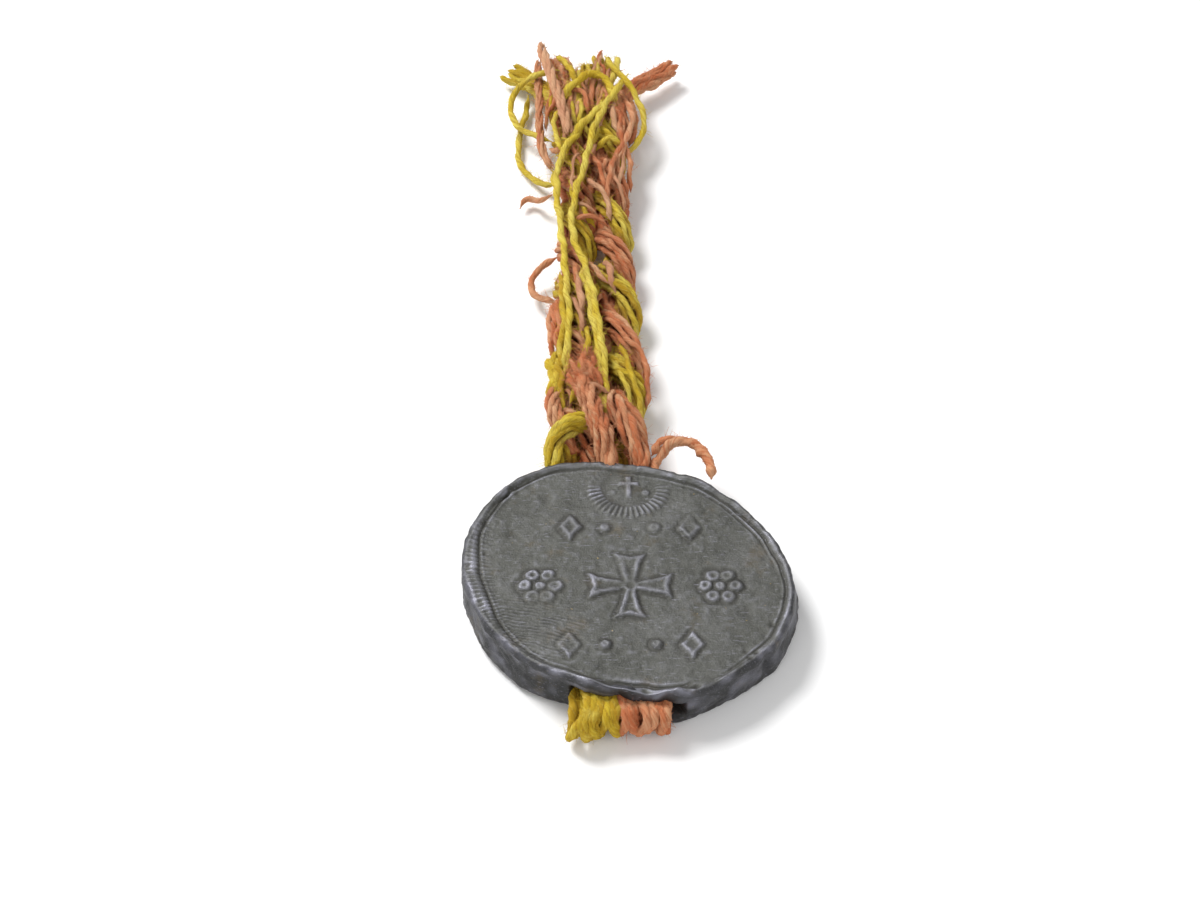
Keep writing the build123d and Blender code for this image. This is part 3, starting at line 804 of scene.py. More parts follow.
def lead_material():
    """Old lead: mottled grey, violet-grey on worn edges and on painted highlights along the rim, brown in
    hollows, painted shade low on the wall and in the openings, pitted and scratched.
    """
    if "old_lead" in bpy.data.materials:
        return bpy.data.materials["old_lead"]
    look = bpy.context.scene.bulla_lead
    material, tree, shader = new_material("old_lead")
    place = node(tree, "ShaderNodeTexCoord").outputs["Object"]
    cloud = noise_at(tree, place, 420.0, 6.0, 0.62)
    fine = noise_at(tree, place, 4200.0, 6.0, 0.7)
    patches = noise_at(tree, place, 150.0, 3.0, 0.5)
    stretch = node(tree, "ShaderNodeMapping")
    stretch.inputs["Rotation"].default_value = (0, 0, math.radians(-9))
    stretch.inputs["Scale"].default_value = (0.16, 1.0, 1.0)
    tree.links.new(place, stretch.inputs["Vector"])
    scratches = noise_at(tree, stretch.outputs[0], 5200.0, 2.0, 0.5)
    wear_and_highlight = attribute(tree, "wear_and_highlight")
    hollows_and_painted_shade = attribute(tree, "hollows_and_painted_shade")
    wall = attribute(tree, "wall")
    base = mixed(tree, ranged(tree, cloud, 0.32, 0.68), colour(look.deep), colour(look.grey))
    base = mixed(tree, ranged(tree, patches, 0.45, 0.75, 0, 0.5), base, colour(look.light))
    base = mixed(tree, figured(tree, "MULTIPLY", wall, 0.82), base, colour(look.wall))
    base = mixed(tree, ranged(tree, fine, 0.54, 0.72, 0, 0.7), base, colour(look.deep))
    base = mixed(tree, ranged(tree, fine, 0.46, 0.3, 0, 0.5), base, colour(look.light))
    brown = ranged(tree, noise_at(tree, place, 230.0, 5.0, 0.65), 0.57, 0.72, 0, 0.75)
    base = mixed(tree, brown, base, colour(look.brown))
    speck = ranged(tree, noise_at(tree, place, 1300.0, 2.0, 0.5), 0.74, 0.78, 0, 0.8)
    base = mixed(tree, speck, base, colour(look.ochre))
    # Violet-grey on worn edges and on the painted highlights along the rim.
    rubbed_and_highlit = figured(tree, "MULTIPLY", wear_and_highlight, ranged(tree, cloud, 0.3, 0.6, 0.45, 1.0))
    base = mixed(tree, rubbed_and_highlit, base, colour(look.worn))
    # Dark in hollows, and painted shade low on the wall and in the openings.
    hollow = figured(tree, "MULTIPLY", hollows_and_painted_shade, 0.7)
    base = mixed(tree, hollow, base, colour(look.hollow))
    streak = ranged(tree, scratches, 0.62, 0.72, 0, 0.35)
    base = mixed(tree, streak, base, colour(look.worn))
    tree.links.new(base, shader.inputs["Base Color"])
    rough = ranged(tree, cloud, 0.3, 0.7, 0.46, 0.64)
    rough = figured(tree, "SUBTRACT", rough, figured(tree, "MULTIPLY", rubbed_and_highlit, 0.22))
    tree.links.new(rough, shader.inputs["Roughness"])
    shader.inputs["Metallic"].default_value = 0.55
    height = figured(tree, "ADD", figured(tree, "MULTIPLY", fine, 0.6), figured(tree, "MULTIPLY", cloud, 1.2))
    height = figured(tree, "ADD", height, figured(tree, "MULTIPLY", scratches, 0.35))
    relief = node(tree, "ShaderNodeBump")
    relief.inputs["Strength"].default_value = 0.8
    relief.inputs["Distance"].default_value = 0.00016
    tree.links.new(height, relief.inputs["Height"])
    tree.links.new(relief.outputs[0], shader.inputs["Normal"])
    return material


def fibre_group():
    """Shared yarn effect: fibres along the twist, worked out from the piece's own coordinates."""
    if "yarn_fibres" in bpy.data.node_groups:
        return bpy.data.node_groups["yarn_fibres"]
    group = bpy.data.node_groups.new("yarn_fibres", "ShaderNodeTree")
    group.interface.new_socket("Twist", in_out="INPUT", socket_type="NodeSocketFloat")
    group.interface.new_socket("Fibre", in_out="OUTPUT", socket_type="NodeSocketFloat")
    group.interface.new_socket("Mottle", in_out="OUTPUT", socket_type="NodeSocketFloat")
    given = group.nodes.new("NodeGroupInput")
    out = group.nodes.new("NodeGroupOutput")
    uv = node(group, "ShaderNodeUVMap", uv_map="UVMap")
    parts = node(group, "ShaderNodeSeparateXYZ")
    group.links.new(uv.outputs[0], parts.inputs[0])
    turn = figured(group, "MULTIPLY", parts.outputs["X"], 2 * math.pi)
    twist = figured(group, "MULTIPLY", parts.outputs["Y"], given.outputs["Twist"])
    turn = figured(group, "ADD", turn, twist)
    place = node(group, "ShaderNodeCombineXYZ")
    group.links.new(figured(group, "COSINE", turn), place.inputs[0])
    group.links.new(figured(group, "SINE", turn), place.inputs[1])
    group.links.new(figured(group, "MULTIPLY", parts.outputs["Y"], 0.14), place.inputs[2])
    group.links.new(noise_at(group, place.outputs[0], 2.6, 5.0, 0.75), out.inputs["Fibre"])
    where = node(group, "ShaderNodeTexCoord").outputs["Object"]
    group.links.new(noise_at(group, where, 520.0, 4.0, 0.6), out.inputs["Mottle"])
    return group


def yarn_material(name, look):
    """Spun yarn: colour by its tone, painted shade between the strands and deep in the plies, faded in
    patches, matt.
    """
    if name in bpy.data.materials:
        return bpy.data.materials[name]
    material, tree, shader = new_material(name)
    fibres = node(tree, "ShaderNodeGroup", node_tree=fibre_group())
    fibres.inputs["Twist"].default_value = 1.3
    tone = attribute(tree, "tone")
    strand_valley_shade = attribute(tree, "strand_valley_shade")
    base = mixed(tree, ranged(tree, tone, 0.0, 0.6), colour(look.deep), colour(look.main))
    base = mixed(tree, ranged(tree, tone, 0.55, 1.0), base, colour(look.pale))
    fade = ranged(tree, fibres.outputs["Mottle"], 0.5, 0.68, 0, 0.6)
    base = mixed(tree, fade, base, colour(look.pale))
    line = ranged(tree, fibres.outputs["Fibre"], 0.36, 0.52, 0.9, 0.0)
    base = mixed(tree, line, base, colour(look.deep))
    light = ranged(tree, fibres.outputs["Fibre"], 0.54, 0.66, 0.0, 0.65)
    base = mixed(tree, light, base, colour(look.pale))
    # Painted shade in the valleys between the two strands of each yarn.
    between = ranged(tree, strand_valley_shade, 0.0, 0.4, 0.6, 0.0)
    base = mixed(tree, between, base, colour(look.shade))
    # Painted shade deep between the yarns of a ply and the plies of a leg.
    inside = figured(tree, "MULTIPLY", attribute(tree, "recess_shade"), 0.9)
    base = mixed(tree, inside, base, colour(look.shade))
    tree.links.new(base, shader.inputs["Base Color"])
    shader.inputs["Roughness"].default_value = 0.78
    shader.inputs["Sheen Weight"].default_value = 0.35
    shader.inputs["Sheen Roughness"].default_value = 0.45
    shader.inputs["Sheen Tint"].default_value = colour(look.pale)
    shader.inputs["Specular IOR Level"].default_value = 0.3
    relief = node(tree, "ShaderNodeBump")
    relief.inputs["Strength"].default_value = 0.9
    relief.inputs["Distance"].default_value = 0.0004
    tree.links.new(fibres.outputs["Fibre"], relief.inputs["Height"])
    tree.links.new(relief.outputs[0], shader.inputs["Normal"])
    return material


def yarn_finish(finish):
    """Material of the yellow, the red or the pale yarn."""
    scene = bpy.context.scene
    if finish == "yellow":
        return yarn_material("yellow_yarn_finish", scene.bulla_yellow)
    if finish == "red":
        return yarn_material("red_yarn_finish", scene.bulla_red)
    return yarn_material("pale_red_yarn_finish", scene.bulla_pale)


# The cord

# Turn of a leg's plies in degrees, size of their winding and how far they draw together, each
# against the distance along the cord
LEG_TURNS = {
    "left": ((14, -60), (22, 0), (27.8, 180), (34.5, 360), (42.2, 540), (50, 720), (57, 900),
             (64, 1080), (71, 1260), (78, 1440), (90, 1700)),
    "right": ((14, 20), (21, 30), (25, 50), (27.5, 95), (30.6, 180), (36.7, 360), (44.8, 540), (52.8, 720),
              (59.4, 900), (66.7, 1080), (74, 1260), (81, 1440), (90, 1660)),
}
LEG_SIZES = ((14, 1.0), (50, 0.98), (62, 0.84), (70, 0.82), (80, 0.92), (90, 1.0))
LEG_DRAW = ((14, 0.0), (45, 0.25), (62, 0.75), (72, 0.85), (82, 0.5), (90, 0.2))


def table_at(table, y):
    """Value of a table at a distance along the cord."""
    places, values = zip(*table)
    return np.interp(y, places, values)


def leg_line(side):
    """Middle of one leg, from its stations."""
    sign = -1 if side == "left" else 1
    route = [(MOUTH_X + sign * PLY_PITCH + shift, y, PLAIT_Z) for shift, y in LEG_STATIONS]
    return even(curve_line("leg_" + side, route), 0.2)


def ply_line(side, colour_name):
    """A ply of a leg: the leg's middle plus half the pitch, at an angle that grows with y."""
    line = leg_line(side)
    y = line[:, 1]
    turn = np.radians(table_at(LEG_TURNS[side], y) + (0 if colour_name == "red" else 180))
    size = table_at(LEG_SIZES, y)
    inward = table_at(LEG_DRAW, y) * (1 if side == "left" else -1)
    line = line.copy()
    line[:, 0] += PLY_PITCH / 2 * size * np.cos(turn) + inward
    line[:, 2] += PLY_PITCH / 2 * size * np.sin(turn)
    return line


def into_mouth(line):
    """Flattens and spreads yarns where they enter the channel's mouth."""
    free = ease(17.2, 21.0, line[:, 1])
    line = line.copy()
    line[:, 2] = CHANNEL_Z + (line[:, 2] - CHANNEL_Z) * (0.35 + 0.65 * free)
    line[:, 0] = MOUTH_X + (line[:, 0] - MOUTH_X) * (1.12 - 0.12 * free)
    return line


PLY_YARNS = 9

# Yarns deep inside a leg: distance towards the other leg, and height
FILLERS = {"red": ((-0.8, 2.4), (0.1, 2.4), (1.0, 2.4)), "yellow": ((-0.2, 2.0), (0.3, 3.0))}


def ply_yarns(line, yarns, twist, seed):
    """Lines of the yarns in a ply: each circles the ply's middle, slowly and not quite evenly.

    Yarn k of n is at the angle 2 pi (k / n + s / twist), with a slow sway, at distance s.
    """
    random = np.random.default_rng(seed)
    first, second = frames(line, (1, 0, 0))
    along = np.concatenate(([0], np.cumsum(np.linalg.norm(np.diff(line, axis=0), axis=1))))
    size = table_at(LEG_SIZES, line[:, 1])
    lines = []
    for number in range(yarns):
        phase = random.uniform(0, 2 * math.pi, 3)
        turn = 2 * math.pi * (number / yarns + along / twist) + 0.3 * np.sin(along * 0.42 + phase[0])
        away = 0.98 + 0.14 * np.sin(along * 0.6 + phase[1]) + 0.08 * np.sin(along * 1.3 + phase[2])
        away = size * away
        lines.append(line + first * (away * np.cos(turn))[:, None] + second * (away * np.sin(turn))[:, None])
    return lines


def make_ply(side, colour_name):
    """Two pieces of one ply, split between the folds so that each crosses one joint."""
    sizes = bpy.context.scene.bulla_cord
    seed = {"left": 100, "right": 200}[side] + {"yellow": 0, "red": 50}[colour_name]
    middle = ply_line(side, colour_name)
    material = yarn_finish(colour_name)
    lines = ply_yarns(middle, PLY_YARNS, -17.0 if side == "left" else -21.0, seed)
    radius = sizes.yarn_diameter / 2 / MM
    for stretch, bodies, start, end, low, high in (
            ("near", (SEAL_BODY, NEAR_BODY), 19.8, 27.0, 0, SPLIT_Y),
            ("far", (NEAR_BODY, FAR_BODY), 51.0, 61.0, SPLIT_Y, 99)):
        skein = Skein(seed)
        # Lines round which the painted recess shade is worked out.
        skein.cores = [(middle, 0.85, 1.36), (leg_line(side), 0.5, 1.9)]
        for number, yarn in enumerate(lines):
            skein.random = np.random.default_rng(seed + 7 * number)
            thickness = skein.random.uniform(0.85, 1.15)
            skein.yarn(into_mouth(yarn), radius * thickness, span=(low, high), fluff=1.1)
        for number, (across, height) in enumerate(FILLERS[colour_name]):
            yarn = leg_line(side)
            sway = 0.12 * np.sin(0.5 * yarn[:, 1] + number)
            yarn[:, 0] += across * (1 if side == "left" else -1) + sway
            yarn[:, 2] = height
            skein.random = np.random.default_rng(seed + 91 + number)
            # The darkest tone is painted shade deep inside the leg.
            skein.yarn(into_mouth(yarn), 0.55, tone=0.05, hairs=1.0, span=(low, high), fluff=0.5)
        name = f"{colour_name}_ply_{side}_{stretch}"
        piece = skein.piece(name + "_yarns", material)
        path = middle[(middle[:, 1] >= low) & (middle[:, 1] <= high)]
        path = into_mouth(path)
        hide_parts(name)
        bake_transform(piece)


def loop_route(number, reach):
    """Lower run of a channel yarn, its loop past the slot and the upper run back, as in the solids."""
    offset = (number - (LOOPS - 1) / 2) * YARN_PITCH
    slot_y = -WALL_Y
    lean = LEANS[number]
    low_lean = LOW_LEANS[number]
    pull = PULLS[number] if number < len(PULLS) else 0.0
    stations = (
        (WALL_Y, LOW_Z, 0),
        (slot_y + 1.6, LOW_Z, 0),
        (slot_y - 0.25, LOW_Z, 0.3 * low_lean),
        (slot_y - 0.25 - 0.3 * reach, LOW_Z - 1.0, 0.6 * low_lean),
        (slot_y - 0.9 * reach, LOW_Z - 1.2, low_lean),
        (slot_y - 1.05 * reach, HIGH_Z - 0.3, lean),
        (slot_y - 0.6 * reach, HIGH_Z + 0.45, 0.8 * lean + 0.5 * pull),
        (slot_y - 0.1, HIGH_Z + 0.15, 0.3 * lean + pull),
        (slot_y + 1.8, HIGH_Z, pull),
        (WALL_Y, HIGH_Z, 0),
    )
    run = (MOUTH_X - SLOT_X) / (2 * WALL_Y)
    squeeze = [1 - 0.1 * float(ease(-10, -17, y)) for y, z, shift in stations]
    return [(SLOT_X + run * (y - slot_y) + offset * tight + shift, y, z)
            for tight, (y, z, shift) in zip(squeeze, stations)]


# The loops from left to right: pull to the right, reach past the slot, lean of the upper and the
# lower run, and tone, kept low in part as painted shade on the loops at the slot
PULLS = (1.5, 1.2, 0.8, 0.5, 0.2)
YELLOW_REACHES = (2.8, 2.9, 2.4, 1.9, 2.1)
RED_REACHES = (1.9, 1.7, 1.9, 1.6, 1.8, 1.5)
LEANS = (-0.1, -0.5, -0.6, 0.2, -0.3, 0.5, -0.2, 0.9, 0.7, 0.5, -0.2)
LOW_LEANS = (-0.9, 0.2, 0.4, -0.6, 0.5, -0.3, 0.7, -0.4, -0.6, 0.2, -0.9)
SHADED_LOOP_TONES = (0.12, 0.28, 0.15, 0.3, 0.1, 0.1, 0.35, 0.5, 0.62, 0.4, 0.9)
# The tail that comes back out of the mouth, and the torn strand beside it
TAIL = ((3.95, 19.6, 4.15), (4.7, 21.0, 4.9), (6.3, 21.3, 5.33), (8.1, 20.7, 5.53),
        (9.2, 18.9, 6.03), (9.9, 16.6, 6.43), (10.0, 14.2, 6.48))
TAIL_STRAND = ((2.9, 19.7, 4.5), (3.7, 21.2, 5.0), (5.3, 21.9, 5.3), (7.2, 21.4, 5.5), (8.6, 20.2, 5.7),
               (9.5, 18.2, 6.3), (9.7, 16.4, 6.7))
# Between these places along the cord the lead hides the yarns, and no loose fibres grow
HIDDEN = (-17.6, 18.4)


def make_channel_yarns():
    """The eleven yarns that run through the lead and loop at its lower slot."""
    for number, reach in enumerate(YELLOW_REACHES + RED_REACHES):
        yellow = number < len(YELLOW_REACHES)
        order = number + 1 if yellow else number + 1 - len(YELLOW_REACHES)
        finish = "yellow" if yellow else "red"
        label = f"{finish}_channel_yarn_{order}"
        route = loop_route(number, reach)
        skein = Skein(300 + number)
        if number < LOOPS - 1:
            # The loop's low tone is partly painted shade at the slot.
            tone = SHADED_LOOP_TONES[number]
            skein.yarn(curve_line(label, route), 0.55, wander=0.06, hairs=6.5, tone=tone, bare=HIDDEN)
            beside = curve_line(label, loop_route(number, reach - 0.25)) + np.array((0.5, 0.12, -0.12))
            skein.yarn(beside, 0.46, wander=0.1, hairs=6.5, tone=tone - 0.25, span=(-30, -14.0), bare=HIDDEN)
        else:
            label = "red_tail_yarn"
            skein.yarn(curve_line(label, route + list(TAIL)), 0.66, taper=(0, 1.2), wander=0.07, hairs=10.0,
                       lay=3.4, depth=0.22, side=(0.6, 0, 0.8), tone=0.7, bare=HIDDEN)
            skein.yarn(curve_line(label, TAIL_STRAND), 0.46, taper=(1.0, 2.0), wander=0.1, hairs=10.0,
                       lay=3.0, depth=0.2, side=(0.6, 0, 0.8), tone=0.4)
        piece = skein.piece(label + "_spun", yarn_finish(finish))
        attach(piece, SEAL_BODY)
        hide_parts(label)


# Loose yarns by the node they stand for: finish, radius, body and route
LOOSE = {
    "pale_red_short_yarn": ("pale", 0.45, NEAR_BODY, (
        (-6.1, 49.0, 6.6), (-5.5, 45.6, 6.7), (-5.6, 42.4, 6.5))),
    "red_side_loop": ("red", 0.45, NEAR_BODY, (
        (-8.6, 55.4, 3.6), (-10.8, 54.3, 2.7), (-12.1, 52.8, 2.0), (-12.0, 50.6, 1.8), (-10.4, 48.6, 2.4),
        (-8.6, 47.4, 3.2))),
    "red_curl": ("red", 0.38, FAR_BODY, (
        (-13.8, 67.2, 1.0), (-13.2, 68.9, 1.3), (-11.8, 68.6, 1.5), (-11.3, 66.9, 2.2),
        (-9.4, 67.4, 3.4))),
    "yellow_loop_left_upper": ("yellow", 0.42, FAR_BODY, (
        (-8.6, 89.6, 5.6), (-10.6, 90.3, 5.2), (-13.0, 89.8, 4.2), (-15.1, 87.6, 2.8), (-15.5, 85.0, 2.6),
        (-14.5, 82.2, 2.6), (-12.6, 79.9, 2.7), (-9.6, 78.0, 3.2))),
    "yellow_loop_left_lower": ("yellow", 0.42, FAR_BODY, (
        (-12.9, 89.4, 1.4), (-13.3, 86.0, 1.0), (-13.8, 83.2, 0.9), (-14.4, 78.2, 0.8),
        (-13.3, 74.6, 0.9), (-11.6, 71.6, 1.4), (-8.8, 70.6, 2.2))),
    "red_strand_left": ("red", 0.55, FAR_BODY, (
        (-11.7, 94.6, 3.3), (-11.5, 88.6, 3.6), (-11.3, 82.2, 3.4), (-11.2, 76.6, 3.0),
        (-9.4, 73.0, 2.6))),
    "pale_red_strand": ("pale", 0.72, FAR_BODY, (
        (-11.2, 94.6, 6.2), (-10.7, 91.0, 6.6), (-9.5, 86.4, 6.8), (-8.1, 80.8, 6.8), (-7.2, 75.8, 6.4))),
    "yellow_loop_right": ("yellow", 0.42, FAR_BODY, (
        (-2.6, 91.6, 6.5), (-0.7, 88.0, 6.7), (2.0, 84.2, 5.7), (2.9, 79.6, 4.2), (1.35, 75.4, 4.0),
        (-0.6, 74.8, 3.6))),
}
# Long loose yarns over both legs: the nodes they stand for, and route
LONG_LOOSE = {
    "yellow_over_yarn": (("yellow_over_yarn_near", "yellow_over_yarn_far"), (
        (-7.6, 32.6, 5.6), (-7.4, 35.5, 6.5), (-6.9, 41.0, 6.5), (-7.4, 46.6, 6.5), (-7.7, 52.6, 6.45),
        (-8.3, 58.7, 6.4), (-8.9, 64.4, 6.5), (-8.8, 68.6, 6.5), (-7.9, 73.4, 6.5), (-5.6, 77.2, 6.2))),
    "yellow_cross_yarn": (("yellow_cross_yarn_near", "yellow_cross_yarn_far"), (
        (-2.3, 24.2, 5.0), (-2.5, 27.6, 6.1), (-2.6, 34.0, 6.5), (-3.4, 40.5, 6.5), (-4.1, 46.2, 6.5),
        (-5.2, 51.2, 6.5), (-6.8, 56.4, 6.4), (-6.9, 60.4, 6.4), (-6.2, 65.6, 6.5), (-5.0, 70.4, 6.5),
        (-4.4, 75.6, 6.5), (-3.1, 80.2, 6.5), (-1.2, 84.4, 6.6), (0.6, 88.4, 6.2))),
}


# A thicker loose yarn is drawn as a bundle of five
SINGLE_YARN = 0.5


def make_loose_yarns():
    """Single yarns pulled out of the plies."""
    for seed, (label, (finish, radius, body, route)) in enumerate(LOOSE.items()):
        skein = Skein(400 + seed)
        line = curve_line(label, route)
        if radius > SINGLE_YARN:
            middle = even(line, 0.2)
            first, second = frames(middle, UP)
            along = np.linspace(0, line_length(middle), len(middle))
            for number in range(5):
                turn = 2 * math.pi * (number / 5 + along / 15) + 0.3 * np.sin(along * 0.5 + number)
                away = 0.52 * radius * np.stack((np.cos(turn), np.sin(turn)), axis=1)
                skein.yarn(middle + first * away[:, :1] + second * away[:, 1:], 0.5 * radius, side=UP,
                           taper=(1.0 + 0.5 * number, 1.6), wander=0.06, hairs=4.0, tone=0.5 + 0.1 * number)
        else:
            skein.yarn(line, radius, side=UP, taper=(1.6, 1.6), lay=5.0, hairs=6.0, tone=0.75)
        piece = skein.piece(label + "_spun", yarn_finish(finish))
        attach(piece, body)
        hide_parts(label)
    tufts = Skein(440)
    for radius, route in TUFTS:
        tufts.yarn(curve_line("red_torn_yarn", route), radius, side=UP, taper=(1.4, 1.8), wander=0.12,
                   hairs=24.0, lay=3.0, depth=0.25, tone=tufts.random.uniform(0.1, 0.6))
    piece = tufts.piece("red_torn_yarn_tufts", yarn_finish("red"))
    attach(piece, NEAR_BODY)
    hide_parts("red_torn_yarn")
    for seed, (label, (nodes, route)) in enumerate(LONG_LOOSE.items()):
        skein = Skein(450 + seed)
        line = curve_line(label, route)
        skein.yarn(line, 0.44, taper=(2.5, 2.5), wander=0.1, lay=7.0, depth=0.08, hairs=5.0, tone=0.85)
        piece = skein.piece(label, yarn_finish("yellow"))
        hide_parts(*nodes)
        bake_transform(piece)


# Hanks that bulge out at the mouth: finish, yarns, spread, twist length, route
HANKS = {
    "red_middle_hank": ("red", 9, 1.0, 17.0, (
        (-6.1, 34.2, 4.6), (-5.5, 30.8, 5.9), (-4.7, 27.4, 6.5), (-3.6, 24.0, 6.5), (-2.7, 21.2, 6.0),
        (-2.2, 19.0, 4.9), (-2.0, 17.2, 3.7), (-2.0, 16.2, 3.2))),
    "red_right_hank": ("red", 8, 0.9, 19.0, (
        (-1.9, 30.0, 4.3), (-1.7, 27.8, 5.7), (-0.9, 25.2, 6.1), (0.4, 22.4, 5.8), (1.4, 19.8, 4.8),
        (1.8, 17.8, 3.6), (1.8, 16.2, 3.2))),
    "red_left_hank": ("red", 7, 0.75, 15.0, (
        (-7.4, 32.0, 3.4), (-8.6, 30.0, 4.4), (-9.0, 27.6, 5.1), (-8.5, 25.2, 5.2), (-7.4, 23.0, 4.7),
        (-6.2, 20.6, 3.6))),
    "yellow_left_bight": ("yellow", 8, 0.9, 13.0, (
        (-8.2, 16.2, 3.2), (-8.6, 18.0, 4.0), (-8.9, 20.4, 5.2), (-8.0, 22.3, 6.0), (-6.4, 23.5, 6.2),
        (-4.9, 24.2, 5.4), (-4.2, 25.0, 4.2))),
}

